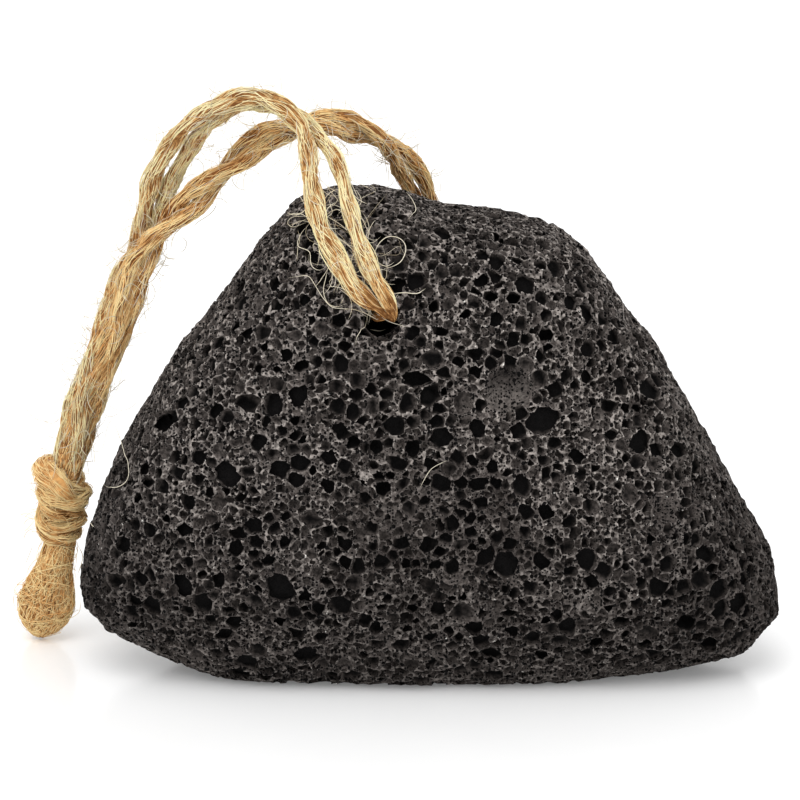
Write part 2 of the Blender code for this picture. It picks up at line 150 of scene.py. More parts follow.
@dataclass
class FibreBatch:
    """Fibres with the same number of points, each with its own thickness and tint."""

    lines: np.ndarray  # fibre, point, xyz
    radii: np.ndarray  # fibre, point
    tints: np.ndarray  # fibre, point: 0 is brown and 1 is pale
    sides: int = 3

    def rings(self) -> np.ndarray:
        """Puts a ring of corners round every point of every fibre.

        Returns:
            The corners: fibre, point, side, xyz.
        """
        ahead = np.empty_like(self.lines)
        ahead[:, 1:-1] = self.lines[:, 2:] - self.lines[:, :-2]
        ahead[:, 0] = self.lines[:, 1] - self.lines[:, 0]
        ahead[:, -1] = self.lines[:, -1] - self.lines[:, -2]
        ahead = unit(ahead)
        other = np.roll(ahead[:, 0], 1, axis=-1) + 0.1  # any way that isn't ahead
        side = np.cross(ahead[:, 0], other)
        sides = np.empty_like(self.lines)
        for i in range(self.lines.shape[1]):
            side = side - ahead[:, i] * np.sum(side * ahead[:, i], axis=-1, keepdims=True)
            side = unit(side)
            sides[:, i] = side
        uprights = np.cross(ahead, sides)
        angles = np.linspace(0.0, math.tau, self.sides, endpoint=False)
        around = (
            sides[:, :, None, :] * np.cos(angles)[None, None, :, None]
            + uprights[:, :, None, :] * np.sin(angles)[None, None, :, None]
        )
        return self.lines[:, :, None, :] + around * self.radii[:, :, None, None]

    def quads(self) -> np.ndarray:
        """Lists the faces along every fibre.

        Returns:
            The numbers of each face's corners, one row each.
        """
        fibres, points = self.lines.shape[:2]
        first = np.arange(fibres)[:, None, None] * points * self.sides
        ring = np.arange(points - 1)[None, :, None] * self.sides
        corner = np.arange(self.sides)[None, None, :]
        after = (corner + 1) % self.sides
        base = first + ring
        faces = np.stack(
            [base + corner, base + after, base + self.sides + after, base + self.sides + corner], -1
        )
        return faces.reshape(-1, 4)

    def caps(self) -> np.ndarray:
        """Lists the two end faces of every fibre.

        Returns:
            The numbers of each face's corners, one row each.
        """
        fibres, points = self.lines.shape[:2]
        first = np.arange(fibres)[:, None] * points * self.sides
        near = first + np.arange(self.sides)[None, ::-1]
        far = first + (points - 1) * self.sides + np.arange(self.sides)[None, :]
        return np.concatenate([near, far])


def store(mesh: bpy.types.Mesh, name: str, values: np.ndarray) -> None:
    """Keeps a number for each vertex on a mesh."""
    stored = mesh.attributes.new(name, "FLOAT", "POINT")
    stored.data.foreach_set("value", values.astype(np.float32).ravel())


def corners_of(mesh: bpy.types.Mesh) -> np.ndarray:
    """Reads the vertices of a mesh, one row each."""
    corners = np.empty(3 * len(mesh.vertices), np.float32)
    mesh.vertices.foreach_get("co", corners)
    return corners.reshape(-1, 3)


def faces_of(node: str) -> BVHTree:
    """Makes a search tree of the faces of a solid."""
    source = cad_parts[node].data
    faces = [list(face.vertices) for face in source.polygons]
    return BVHTree.FromPolygons([vertex.co for vertex in source.vertices], faces)


def mesh_from(
    name: str, corners: np.ndarray, groups: Iterable[np.ndarray], tints: np.ndarray | None = None
) -> bpy.types.Object:
    """Makes an object from arrays.

    Args:
        name: the object's name.
        corners: its vertices, one row each.
        groups: arrays of faces; the faces of one array have the same number of corners.
        tints: a number for each vertex, kept as the attribute "tint".

    Returns:
        The new object, linked to the scene.
    """
    groups = [group for group in groups if len(group)]
    mesh = bpy.data.meshes.new(name)
    mesh.vertices.add(len(corners))
    mesh.vertices.foreach_set("co", corners.astype(np.float32).ravel())
    sizes = np.concatenate([np.full(len(group), group.shape[1]) for group in groups])
    mesh.loops.add(int(sizes.sum()))
    mesh.loops.foreach_set(
        "vertex_index", np.concatenate([group.ravel() for group in groups]).astype(np.int32)
    )
    mesh.polygons.add(len(sizes))
    starts = np.concatenate([[0], np.cumsum(sizes)[:-1]])
    mesh.polygons.foreach_set("loop_start", starts.astype(np.int32))
    mesh.update(calc_edges=True)
    mesh.validate()
    if tints is not None:
        store(mesh, "tint", tints)
    mesh.shade_smooth()
    made = bpy.data.objects.new(name, mesh)
    bpy.context.scene.collection.objects.link(made)
    return made


def fibre_mesh(name: str, batches: Sequence[FibreBatch]) -> bpy.types.Object:
    """Joins batches of fibres in one object.

    Args:
        name: the object's name.
        batches: what it is made of.

    Returns:
        The new object.
    """
    corners, groups, tints, count = [], [], [], 0
    for batch in batches:
        rings = batch.rings().reshape(-1, 3)
        corners.append(rings)
        groups.append(batch.quads() + count)
        groups.append(batch.caps() + count)
        tints.append(np.repeat(batch.tints.ravel(), batch.sides))
        count += len(rings)
    return mesh_from(name, np.concatenate(corners), groups, np.concatenate(tints))


def smooth_noise(draw: np.random.Generator, rows: int, points: int, waves: int) -> np.ndarray:
    """Draws slow random curves.

    Args:
        draw: the random numbers.
        rows: how many curves.
        points: how many points each has.
        waves: about how often each swings along its length.

    Returns:
        Values of about -1 to 1: row, point.
    """
    coarse = draw.uniform(-1.0, 1.0, (rows, waves + 3))
    place = np.linspace(0.0, waves, points)
    whole = np.minimum(place.astype(int), waves - 1)
    ease = eased(place - whole)
    return coarse[:, whole] * (1 - ease) + coarse[:, whole + 1] * ease


BEND_DRIFT = 0.15  # by how much the axis drifts at each step about which a loose fibre bends
HAIR_TAPER = 5.0  # each end of a hair thins over one part in this many of its length
HAIR_TIP = 0.25  # how thick its tips are, as a share of its middle
HAIR_TINTS = 0.14  # how much the tints of single hairs differ


def wandering_lines(
    draw: np.random.Generator,
    starts: np.ndarray,
    ahead: np.ndarray,
    steps: int,
    stride: float,
    tightness: Span,
    keep: Callable[[np.ndarray], np.ndarray] | None = None,
) -> np.ndarray:
    """Lets fibres wander off, each bending about an axis of its own that drifts.

    Args:
        draw: the random numbers.
        starts: where they start.
        ahead: the directions in which they start.
        steps: how many points each has.
        stride: the distance from point to point.
        tightness: the least and the most that one bends, in radians per metre.
        keep: moves points back to where fibres may be.

    Returns:
        The lines: fibre, point, xyz.
    """
    axis = unit(draw.normal(size=starts.shape))
    bend = draw.uniform(*tightness, (len(starts), 1)) * stride
    lines = [starts]
    for _ in range(steps - 1):
        axis = unit(axis + draw.normal(scale=BEND_DRIFT, size=starts.shape))
        ahead = unit(ahead + np.cross(axis, ahead) * bend)
        place = lines[-1] + ahead * stride
        if keep is not None:
            place = keep(place)
            ahead = unit(place - lines[-1])
        lines.append(place)
    return np.stack(lines, 1)


def hair_batch(
    draw: np.random.Generator, lines: np.ndarray, radius: Span, pale: float
) -> FibreBatch:
    """Makes single hairs that taper at both ends.

    Args:
        draw: the random numbers.
        lines: the hairs' lines.
        radius: the least and the most that a hair is thick, from its middle.
        pale: their mean tint.

    Returns:
        The hairs.
    """
    count, points = lines.shape[:2]
    share = np.linspace(0.0, 1.0, points)[None]
    taper = np.clip(np.minimum(share, 1.0 - share) * HAIR_TAPER, HAIR_TIP, 1.0)
    radii = draw.uniform(*radius, (count, 1)) * taper
    tints = np.repeat(draw.normal(pale, HAIR_TINTS, (count, 1)), points, 1)
    return FibreBatch(lines, radii, tints)


# ---- Finishes ----


class Layout:
    """The node tree of one material, with short ways to add to it."""

    def __init__(self, name: str) -> None:
        """Starts an empty material with its surface shader and output.

        Args:
            name: its name.
        """
        self.material = bpy.data.materials.new(name)
        self.material.use_nodes = True
        self.tree = self.material.node_tree
        self.shader = self.tree.nodes["Principled BSDF"]
        self.place = self.node("ShaderNodeTexCoord").outputs["Object"]

    def plug(self, socket: Socket, value: object) -> None:
        """Feeds a socket from another one, or gives it a plain value.

        Args:
            socket: the socket that is fed.
            value: another socket, a number, a colour or a place.
        """
        if isinstance(value, bpy.types.NodeSocket):
            self.tree.links.new(value, socket)
        elif isinstance(value, tuple) and len(value) == 3 and socket.type == "RGBA":
            socket.default_value = (*value, 1.0)
        else:
            socket.default_value = value

    def surface(self, colour: Socket, roughness: float, gloss: float) -> None:
        """Sets the colour, the roughness and the gloss of the surface.

        Args:
            colour: its colour.
            roughness: from 0, a mirror, to 1.
            gloss: how much it reflects; 0.5 is usual.
        """
        self.plug(self.shader.inputs["Base Color"], colour)
        self.plug(self.shader.inputs["Roughness"], roughness)
        self.plug(self.shader.inputs["Specular IOR Level"], gloss)

    def node(self, kind: str, settings: dict | None = None, **inputs: object) -> bpy.types.Node:
        """Adds a node.

        Args:
            kind: its type, as Blender names it.
            settings: its own properties.
            inputs: its sockets by name, underscores standing for spaces.

        Returns:
            The node.
        """
        made = self.tree.nodes.new(kind)
        for key, value in (settings or {}).items():
            setattr(made, key, value)
        for key, value in inputs.items():
            self.plug(made.inputs[key.replace("_", " ")], value)
        return made

    def calculate(self, operation: str, *values: object) -> Socket:
        """Adds a Math node.

        Args:
            operation: what it does, as Blender names it.
            values: what it works on.

        Returns:
            The result.
        """
        made = self.node("ShaderNodeMath", {"operation": operation})
        for socket, value in zip(made.inputs, values, strict=False):
            self.plug(socket, value)
        return made.outputs[0]

    def times(self, first: object, second: object) -> Socket:
        """Multiplies two values."""
        return self.calculate("MULTIPLY", first, second)

    def larger(self, first: object, second: object) -> Socket:
        """Takes the larger of two values."""
        return self.calculate("MAXIMUM", first, second)

    def between(
        self, value: object, low: float, high: float, to_low: float = 0.0, to_high: float = 1.0
    ) -> Socket:
        """Maps a value smoothly from one range to another.

        Args:
            value: what is mapped.
            low: the value that gives to_low.
            high: the value that gives to_high.
            to_low: the result at low and beyond it.
            to_high: the result at high and beyond it.

        Returns:
            The mapped value.
        """
        made = self.node("ShaderNodeMapRange", {"interpolation_type": "SMOOTHSTEP"})
        for socket, given in zip(made.inputs, (value, low, high, to_low, to_high), strict=False):
            self.plug(socket, given)
        return made.outputs[0]

    def mix(self, share: object, first: object, second: object) -> Socket:
        """Mixes two colours.

        Args:
            share: 0 gives the first colour and 1 the second.
            first: a colour.
            second: the other colour.

        Returns:
            The mixed colour.
        """
        made = self.node("ShaderNodeMix", {"data_type": "RGBA"})
        colours = [socket for socket in made.inputs if socket.type == "RGBA"]
        for socket, value in zip([made.inputs[0], *colours], (share, first, second), strict=True):
            self.plug(socket, value)
        return next(socket for socket in made.outputs if socket.type == "RGBA")

    def noise(self, width: float, detail: float = 2.0) -> Socket:
        """Adds a noise whose lumps are about the given width in metres."""
        made = self.node("ShaderNodeTexNoise", Vector=self.place, Scale=1.0 / width, Detail=detail)
        return made.outputs["Fac"]

    def stored(self, name: str) -> Socket:
        """Reads a number kept on the mesh."""
        return self.node("ShaderNodeAttribute", {"attribute_name": name}).outputs["Fac"]

    def axis(self, name: str) -> Socket:
        """Gives one coordinate of the place on the object, in metres."""
        return self.node("ShaderNodeSeparateXYZ", Vector=self.place).outputs[name]

    def bump(self, height: Socket, depth: float, under: Socket | None = None) -> Socket:
        """Turns a height of 0 to 1 into a bumped normal.

        Args:
            height: the height.
            depth: what a height of 1 is, in metres.
            under: a bumped normal that this one is added to.

        Returns:
            The new normal.
        """
        made = self.node("ShaderNodeBump", Height=height, Distance=depth, Strength=1.0)
        if under is not None:
            self.plug(made.inputs["Normal"], under)
        return made.outputs[0]


@dataclass(frozen=True)
class LavaFinish:
    """Charcoal lava: painted shade makes its pits and fine pores near black, and its pale rims are wear
    with a painted highlight.

    It reads how deep a place lies below the skin and how far it is from the nearest pit. Both are in
    millimetres, as are the limits for them here. Of two limits, the first is where a thing starts to
    show and the second where it shows in full.
    """

    name: str = "charcoal lava"
    roughness: float = 0.82
    gloss: float = 0.12
    floor: Colour = (0.0345, 0.0285, 0.0258)
    pale_floor: Colour = (0.068, 0.058, 0.053)
    patch_width: float = 7 * MM
    patch_noise: Span = (0.38, 0.62)
    # painted shade: the near-black of deep pits and of the fine pores
    pit_shade: Colour = (0.0022, 0.0018, 0.0018)
    # depths over which the painted shade of a pit deepens
    pit_depths: Span = (0.50, 1.20)
    # pale rims: wear, with a painted highlight along the edges
    rim_wear_and_highlight: Colour = (0.235, 0.210, 0.193)
    top_depths: Span = (0.16, 0.04)
    edge_widths: Span = (0.11, 0.04)
    worn_width: float = 0.9 * MM
    worn_noise: Span = (0.34, 0.60)
    least_worn: float = 0.38
    web_depths: Span = (0.80, 0.40)
    wide_pores: float = 0.62 * MM
    narrow_pores: float = 0.36 * MM
    dots: float = 0.15  # share of the fine pores that are mere dots
    widest_pore: float = 0.52  # half-width as a share of the spacing, like the next three
    pore_walls: Span = (0.04, -0.06)
    ring_insides: Span = (-0.04, 0.06)
    ring_outsides: Span = (0.22, 0.10)
    pore_ring: float = 0.85
    sunk_pore_ring: float = 0.3
    # the bowl's painted shade above and painted light below
    bowl_painted_shade: Colour = (0.014, 0.0115, 0.0105)
    bowl_painted_light: Colour = (0.100, 0.088, 0.080)
    bowl_middle: tuple[float, float, float] = (11.0 * MM, -19.0 * MM, 45.9 * MM)
    bowl_reach: Span = (3.9 * MM, 2.9 * MM)
    bowl_heights: Span = (48.2 * MM, 43.6 * MM)
    bowl_share: float = 0.8
    # painted glints: pale specks on the tops of the webs
    glint: Colour = (0.62, 0.60, 0.56)
    glint_width: float = 0.5 * MM
    glint_noise: Span = (0.725, 0.79)
    grain_width: float = 0.45 * MM
    grain_noise: Span = (0.32, 0.68)
    grain_values: Span = (0.55, 1.45)
    # painted light and shade: paler towards the top and the middle, darker towards the foot and the sides
    light_heights: Span = (8 * MM, 36 * MM)
    light_reach: Span = (30 * MM, 47 * MM)  # from the stone's middle to its sides
    light_middle: float = -4 * MM
    least_light: float = 0.50
    light_values: Span = (0.55, 0.70)  # what the painted light adds to the brightness, and what that is without it
    coarse_bump: Span = (0.28 * MM, 0.20 * MM)  # width and depth
    pore_bump: float = 0.25 * MM

    def material(self) -> bpy.types.Material:
        """Builds the material.

        Returns:
            The material, which reads the attributes "depth" and "edge".
        """
        sheet = Layout(self.name)
        near_top = sheet.between(sheet.stored("depth"), *self.top_depths)
        on_web = sheet.between(sheet.stored("depth"), *self.web_depths)
        wide_pore, wide_ring = self.fine_pores(sheet, self.wide_pores)
        narrow_pore, narrow_ring = self.fine_pores(sheet, self.narrow_pores)
        pore = sheet.times(sheet.larger(wide_pore, narrow_pore), on_web)
        ringed = sheet.larger(near_top, sheet.times(on_web, self.sunk_pore_ring))
        # painted highlight in rings round the fine pores
        ring = sheet.times(sheet.larger(wide_ring, narrow_ring), sheet.times(ringed, self.pore_ring))
        near_edge = sheet.between(sheet.stored("edge"), *self.edge_widths)
        worn = sheet.between(sheet.noise(self.worn_width), *self.worn_noise, self.least_worn, 1.0)
        # wear and painted highlight on the rims of the carved pits
        worn_rim_highlight = sheet.times(sheet.times(near_top, near_edge), worn)
        painted_light = self.painted_light(sheet)
        base = sheet.mix(sheet.times(sheet.larger(worn_rim_highlight, ring), painted_light), self.ground(sheet), self.rim_wear_and_highlight)
        bowl, shade = self.bowl(sheet)
        base = sheet.mix(sheet.times(bowl, self.bowl_share), base, shade)
        pore = sheet.larger(pore, sheet.times(bowl, wide_pore))
        # painted shade in the fine pores
        base = sheet.mix(pore, base, self.pit_shade)
        # painted glints on the tops
        glints = sheet.between(sheet.noise(self.glint_width, 1.0), *self.glint_noise)
        base = sheet.mix(sheet.times(glints, near_top), base, self.glint)
        grain = sheet.noise(self.grain_width, 3.0)
        grain = sheet.between(grain, *self.grain_noise, *self.grain_values)
        # painted light over the whole surface, with painted shade towards the foot and the sides
        value = sheet.times(grain, sheet.calculate("MULTIPLY_ADD", painted_light, *self.light_values))
        graded = sheet.node("ShaderNodeHueSaturation", Color=base, Value=value, Saturation=1.0, Fac=1.0)
        sheet.surface(graded.outputs[0], self.roughness, self.gloss)
        width, height = self.coarse_bump
        normal = sheet.bump(sheet.noise(width, 3.0), height)
        normal = sheet.bump(sheet.calculate("SUBTRACT", 1.0, pore), self.pore_bump, normal)
        sheet.plug(sheet.shader.inputs["Normal"], normal)
        return sheet.material

    def ground(self, sheet: Layout) -> Socket:
        """Colours the webs, paler in patches, and paints shade into the pits, darker the deeper they are.
        """
        patches = sheet.between(sheet.noise(self.patch_width), *self.patch_noise)
        base = sheet.mix(patches, self.floor, self.pale_floor)
        return sheet.mix(sheet.between(sheet.stored("depth"), *self.pit_depths), base, self.pit_shade)

    def painted_light(self, sheet: Layout) -> Socket:
        """Finds the painted light: paler towards the stone's top and middle, with painted shade towards
        its foot and its two sides.
        """
        upward = sheet.between(sheet.axis("Z"), *self.light_heights, self.least_light, 1.0)
        outward = sheet.calculate("ABSOLUTE", sheet.calculate("ADD", sheet.axis("X"), -self.light_middle))
        return sheet.times(upward, sheet.between(outward, *self.light_reach, 1.0, self.least_light))

    def bowl(self, sheet: Layout) -> tuple[Socket, Socket]:
        """Finds the one smooth, shallow bowl of the front, with painted shade above and painted light
        below.

        Args:
            sheet: the node tree.

        Returns:
            Where the bowl is, and its colour of painted shade and light.
        """
        away = sheet.node("ShaderNodeVectorMath", {"operation": "DISTANCE"})
        sheet.plug(away.inputs[0], sheet.place)
        sheet.plug(away.inputs[1], self.bowl_middle)
        lower = sheet.between(sheet.axis("Z"), *self.bowl_heights)
        shade = sheet.mix(lower, self.bowl_painted_shade, self.bowl_painted_light)
        return sheet.between(away.outputs["Value"], *self.bowl_reach), shade

    def fine_pores(self, sheet: Layout, spacing: float) -> tuple[Socket, Socket]:
        """Scatters pores that are finer than the carved ones, which get painted shade.

        Args:
            sheet: the node tree.
            spacing: the distance from pore to pore, in metres.

        Returns:
            Where the pores are, and where their pale rims of painted highlight are.
        """
        cells = sheet.node(
            "ShaderNodeTexVoronoi", {"feature": "F1"}, Vector=sheet.place, Scale=1.0 / spacing
        )
        size = sheet.node("ShaderNodeSeparateColor", Color=cells.outputs["Color"]).outputs[0]
        size = sheet.between(size, self.dots, 1.0, 0.0, self.widest_pore)
        beyond = sheet.calculate("SUBTRACT", cells.outputs["Distance"], size)
        outside = sheet.between(beyond, *self.ring_outsides)
        ring = sheet.times(outside, sheet.between(beyond, *self.ring_insides))
        return sheet.between(beyond, *self.pore_walls), ring


@dataclass(frozen=True)
class JuteFinish:
    """Jute fibre, from brown to pale straw as its tint says; low tints also carry painted shade."""

    name: str
    shade: Colour
    middle: Colour
    pale: Colour
    roughness: float = 0.72
    gloss: float = 0.2
    streak_width: float = 1.1 * MM
    streak: float = 0.14  # by which a tint goes up and down along a fibre
    fine_bump: Span = (0.12 * MM, 0.02 * MM)  # width and depth

    def material(self) -> bpy.types.Material:
        """Builds the material.

        Returns:
            The material, which reads the attribute "tint".
        """
        sheet = Layout(self.name)
        streak = sheet.between(
            sheet.noise(self.streak_width, 3.0), *NOISE_MIDDLE, -self.streak, self.streak
        )
        tint = sheet.calculate("ADD", sheet.stored("tint"), streak)
        colour = sheet.mix(sheet.between(tint, 0.0, 0.5), self.shade, self.middle)
        colour = sheet.mix(sheet.between(tint, 0.5, 1.0), colour, self.pale)
        sheet.surface(colour, self.roughness, self.gloss)
        width, height = self.fine_bump
        sheet.plug(sheet.shader.inputs["Normal"], sheet.bump(sheet.noise(width), height))
        return sheet.material


# The front strands' jute is the same twine as the brown jute, made paler with painted light.
LIT_JUTE = JuteFinish("pale jute", (0.23, 0.088, 0.021), (0.74, 0.41, 0.148), (1.0, 0.90, 0.54))
HAIR_JUTE = JuteFinish("stray jute hair", (0.48, 0.38, 0.25), (0.68, 0.58, 0.40), (0.86, 0.79, 0.63))
BROWN_JUTE = JuteFinish("brown jute", (0.21, 0.078, 0.018), (0.78, 0.42, 0.148), (1.0, 0.78, 0.40))


@dataclass(frozen=True)
class BackdropFinish:
    """A white sheet with a faint gloss."""

    name: str = "white backdrop"
    colour: Colour = (0.98, 0.98, 0.98)
    roughness: float = 0.18
    gloss: float = 0.5
    glow: float = 0.14
    fleck_width: float = 0.02
    fleck: float = 0.99  # brightness where it is darkest

    def material(self) -> bpy.types.Material:
        """Builds the material.

        Returns:
            The material.
        """
        sheet = Layout(self.name)
        fleck = sheet.between(sheet.noise(self.fleck_width), *NOISE_MIDDLE, self.fleck, 1.0)
        sheet.surface(sheet.mix(fleck, (0.0, 0.0, 0.0), self.colour), self.roughness, self.gloss)
        sheet.plug(sheet.shader.inputs["Emission Color"], self.colour)
        sheet.plug(sheet.shader.inputs["Emission Strength"], self.glow)
        return sheet.material


def dress(made: bpy.types.Object, finish: bpy.types.Material, node: str = "") -> None:
    """Gives a piece its finish and lets it ride on the body.

    Args:
        made: the piece.
        finish: its material.
        node: the name of the solid that it replaces, if any.
    """
    made.data.materials.clear()
    made.data.materials.append(finish)
    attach(made, BODY)
    if node:
        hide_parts(node)


# ---- The stone ----


# The larger pits of the front: x, z, width and height of the mouth, depth, in metres.
FRONT_PITS = [
    (-0.0074, 0.0536, 0.0058, 0.0050, 0.0036), (-0.0092, 0.0530, 0.0028, 0.0026, 0.0028),
    (0.0161, 0.0531, 0.0028, 0.0026, 0.0022), (-0.0017, 0.0475, 0.0048, 0.0026, 0.0020),
    (0.0020, 0.0457, 0.0019, 0.0019, 0.0016), (-0.0076, 0.0688, 0.0028, 0.0026, 0.0018),
    (-0.0030, 0.0676, 0.0026, 0.0024, 0.0018), (0.0044, 0.0668, 0.0022, 0.0024, 0.0016),
    (0.0025, 0.0631, 0.0020, 0.0022, 0.0016), (0.0085, 0.0586, 0.0025, 0.0022, 0.0018),
    (0.0116, 0.0581, 0.0027, 0.0022, 0.0019), (0.0004, 0.0572, 0.0022, 0.0022, 0.0018),
    (0.0048, 0.0562, 0.0025, 0.0020, 0.0015), (0.0015, 0.0540, 0.0024, 0.0021, 0.0015),
    (-0.0178, 0.0491, 0.0028, 0.0020, 0.0018), (-0.0119, 0.0521, 0.0027, 0.0022, 0.0015),
    (-0.0124, 0.0554, 0.0026, 0.0024, 0.0016), (-0.0182, 0.0413, 0.0026, 0.0019, 0.0018),
    (-0.0106, 0.0388, 0.0024, 0.0022, 0.0018), (-0.0077, 0.0379, 0.0026, 0.0026, 0.0020),
    (-0.0024, 0.0377, 0.0026, 0.0029, 0.0020), (-0.0063, 0.0318, 0.0029, 0.0025, 0.0022),
    (0.0250, 0.0425, 0.0031, 0.0020, 0.0016), (0.0288, 0.0418, 0.0026, 0.0018, 0.0015),
    (0.0013, 0.0226, 0.0024, 0.0020, 0.0016), (-0.0024, 0.0139, 0.0025, 0.0022, 0.0018),
    (0.0112, 0.0131, 0.0030, 0.0018, 0.0015), (0.0271, 0.0116, 0.0029, 0.0024, 0.0022),
    (0.0235, 0.0081, 0.0027, 0.0026, 0.0022), (0.0304, 0.0078, 0.0027, 0.0024, 0.0022),
    (0.0361, 0.0110, 0.0032, 0.0028, 0.0024), (0.0396, 0.0066, 0.0031, 0.0034, 0.0024),
    (0.0088, 0.0064, 0.0034, 0.0026, 0.0018), (-0.0375, 0.0390, 0.0040, 0.0036, 0.0026),
    (-0.0281, 0.0133, 0.0026, 0.0021, 0.0016), (-0.0316, 0.0189, 0.0022, 0.0019, 0.0015),
    (-0.0394, 0.0305, 0.0024, 0.0020, 0.0016),
]

# Smooth patches with few pits: middle x, y, z and half-width, in millimetres.
CALM_PATCHES = [
    (11.3, -19.0, 45.9, 3.7), (32.8, -15.0, 27.5, 2.6), (-24.0, 19.0, 30.0, 3.2), (20.0, 18.5, 42.0, 3.0),
    (33.0, 15.0, 15.0, 2.4), (-8.0, 20.0, 14.0, 2.6),
]


def spread(values: np.ndarray, axis: int) -> np.ndarray:
    """Turns a row of values into a block that varies along one of its three axes."""
    shape = [1, 1, 1]
    shape[axis] = -1
    return values.reshape(shape)


@dataclass
class VesicleClass:
    """Gas vesicles of one size, packed in one go."""

    radii: Span  # millimetres
    tries: int
    sunk: Span  # depth of the middle as shares of the radius


@dataclass
class PumiceStone:
    """The stone: its solid's form, carved with thousands of gas vesicles.

    Lengths are in millimetres. The fields cover a block of voxels round the solid: skin is the
    distance from the surface, nearest and second are those from the two nearest vesicles, sunk is
    the depth within a named pit, and edge the distance from the nearest carved pit.
    """

    node: str = "stone"
    seed: int = 11
    voxel: float = 0.22
    bands: Span = (5.0, 15.0)  # voxels outside and inside of the surface
    smoothing: tuple[int, ...] = (2, -2, 1, -1, 0)  # voxels that are averaged
    lumps: tuple[Span, ...] = ((0.28, 7.0), (0.22, 1.1))  # height and width
    fullness: float = 0.30  # by which the rims stand proud of the solid
    wall: float = 0.19  # between two vesicles
    swell: float = 0.40  # how far a vesicle grows past its ball, into its corners
    margin: float = 0.8  # how far past that it is reckoned
    crowding: float = 0.82  # how near to one vesicle the next may start, as a share of its radius
    apart: float = 0.06  # what is added to that
    home: Span = (0.4, 1.2)  # depth round which vesicles start, and how far from it
    patchy: float = 0.28  # share by which vesicles are larger or smaller from place to place
    patch_waves: tuple[tuple[float, float, float], ...] = ((0.31, 0.17, 0.43), (-0.23, 0.29, 0.21))
    calm_radius: float = 0.3  # the largest vesicle in a calm patch
    calm_share: float = 0.02  # share of those that a calm patch keeps
    stretch: float = 0.28
    ball_reach: float = 1.3  # of a stretched vesicle, as a share of its radius
    deepest: float = 1.25
    warp: float = 0.07  # by which outlines wander, in each of the waves
    warp_waves: tuple[float, ...] = (1.3, 2.3, 3.7)
    rim_width: float = 0.07
    dimple: float = 0.9  # how steeply a web sinks from its rims to its middle
    dimple_reach: float = 0.35
    face_budget: int = 203_500  # triangles, before those that the thinning folds flat are dropped
    back_budget: int = 78_000  # triangles behind
    thinning: float = 2e-6  # how much the weights count beside the change of form
    seam: tuple[float, float, float] = (2.0, 0.09, 39.0)  # y, slope and height of the front's end
    foot: float = 1.0  # height of the underside, which is thinned like the back
    top_weight: float = 0.2  # of the thinning, at the skin
    pit_weight: float = 0.7  # how much more it is in the pits
    pit_depths: Span = (0.3, 0.5)  # where that starts, and over which depth it grows
    sharp: float = math.radians(50)
    classes: tuple[VesicleClass, ...] = (
        VesicleClass((0.95, 1.4), 2_600, (-0.5, 0.7)),
        VesicleClass((0.60, 0.95), 26_000, (-0.5, 0.75)),
        VesicleClass((0.34, 0.58), 130_000, (-0.6, 0.8)),
        VesicleClass((0.16, 0.32), 300_000, (-0.8, 1.0)),
        VesicleClass((0.04, 0.14), 300_000, (-0.8, 1.0)),
    )
    low: np.ndarray = field(init=False)
    axes: list[np.ndarray] = field(init=False)
    shifts: dict[tuple[int, int], np.ndarray] = field(init=False)
    skin: np.ndarray = field(init=False)
    nearest: np.ndarray = field(init=False)
    second: np.ndarray = field(init=False)
    sunk: np.ndarray = field(init=False)
    edge: np.ndarray = field(init=False)

    def build(self) -> bpy.types.Object:
        """Carves the stone.

        Returns:
            Its piece.
        """
        self.level_set()
        self.soften()
        self.pack()
        made = self.surface(self.carve())
        self.thin_out(made)
        self.mark(made)
        dress(made, LavaFinish().material(), self.node)
        return made

    def level_set(self) -> None:
        """Reads the solid into a field of signed distances: negative is inside."""
        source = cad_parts[self.node].data
        source.calc_loop_triangles()
        faces = np.empty(3 * len(source.loop_triangles), np.int32)
        source.loop_triangles.foreach_get("vertices", faces)
        outside, inside = self.bands
        grid = openvdb.FloatGrid.createLevelSetFromPolygons(
            corners_of(source) / MM,
            triangles=faces.reshape(-1, 3).astype(np.uint32),
            transform=openvdb.createLinearTransform(voxelSize=self.voxel),
            exBandWidth=outside,
            inBandWidth=inside,
        )
        low, high = grid.evalActiveVoxelBoundingBox()
        self.low = np.array(low) - 2
        self.skin = np.zeros(np.array(high) + 3 - self.low, np.float32)
        grid.copyToArray(self.skin, ijk=tuple(int(v) for v in self.low))

    def soften(self) -> None:
        """Smooths the solid's facets away, adds low lumps and keeps within its box."""
        skin = self.skin
        for axis in (0, 1, 2):
            for _ in range(2):
                shifted = (np.roll(skin, shift, axis) for shift in self.smoothing)
                skin = sum(shifted) / len(self.smoothing)
        draw = np.random.default_rng(self.seed)
        for height, width in self.lumps:
            skin = skin + self.lumpy(draw, height, width)
        skin = skin - self.fullness
        low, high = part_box(self.node)
        for axis in (0, 1, 2):
            place = (np.arange(skin.shape[axis]) + self.low[axis]) * self.voxel
            beyond = np.maximum(place - high[axis] / MM, low[axis] / MM - place)
            skin = np.maximum(skin, spread(beyond.astype(np.float32), axis))
        self.skin = skin

    def lumpy(self, draw: np.random.Generator, height: float, width: float) -> np.ndarray:
        """Draws a field of smooth lumps.

        Args:
            draw: the random numbers.
            height: the most that a lump rises or sinks.
            width: the distance from lump to lump.

        Returns:
            The field.
        """
        cells = [int(count * self.voxel / width) + 4 for count in self.skin.shape]
        lumps = draw.uniform(-height, height, cells).astype(np.float32)
        for axis in (0, 1, 2):
            place = np.arange(self.skin.shape[axis]) * self.voxel / width
            whole = place.astype(int)
            ease = spread(eased(place - whole).astype(np.float32), axis)
            lumps = np.take(lumps, whole, axis) * (1 - ease) + np.take(lumps, whole + 1, axis) * ease
        return lumps

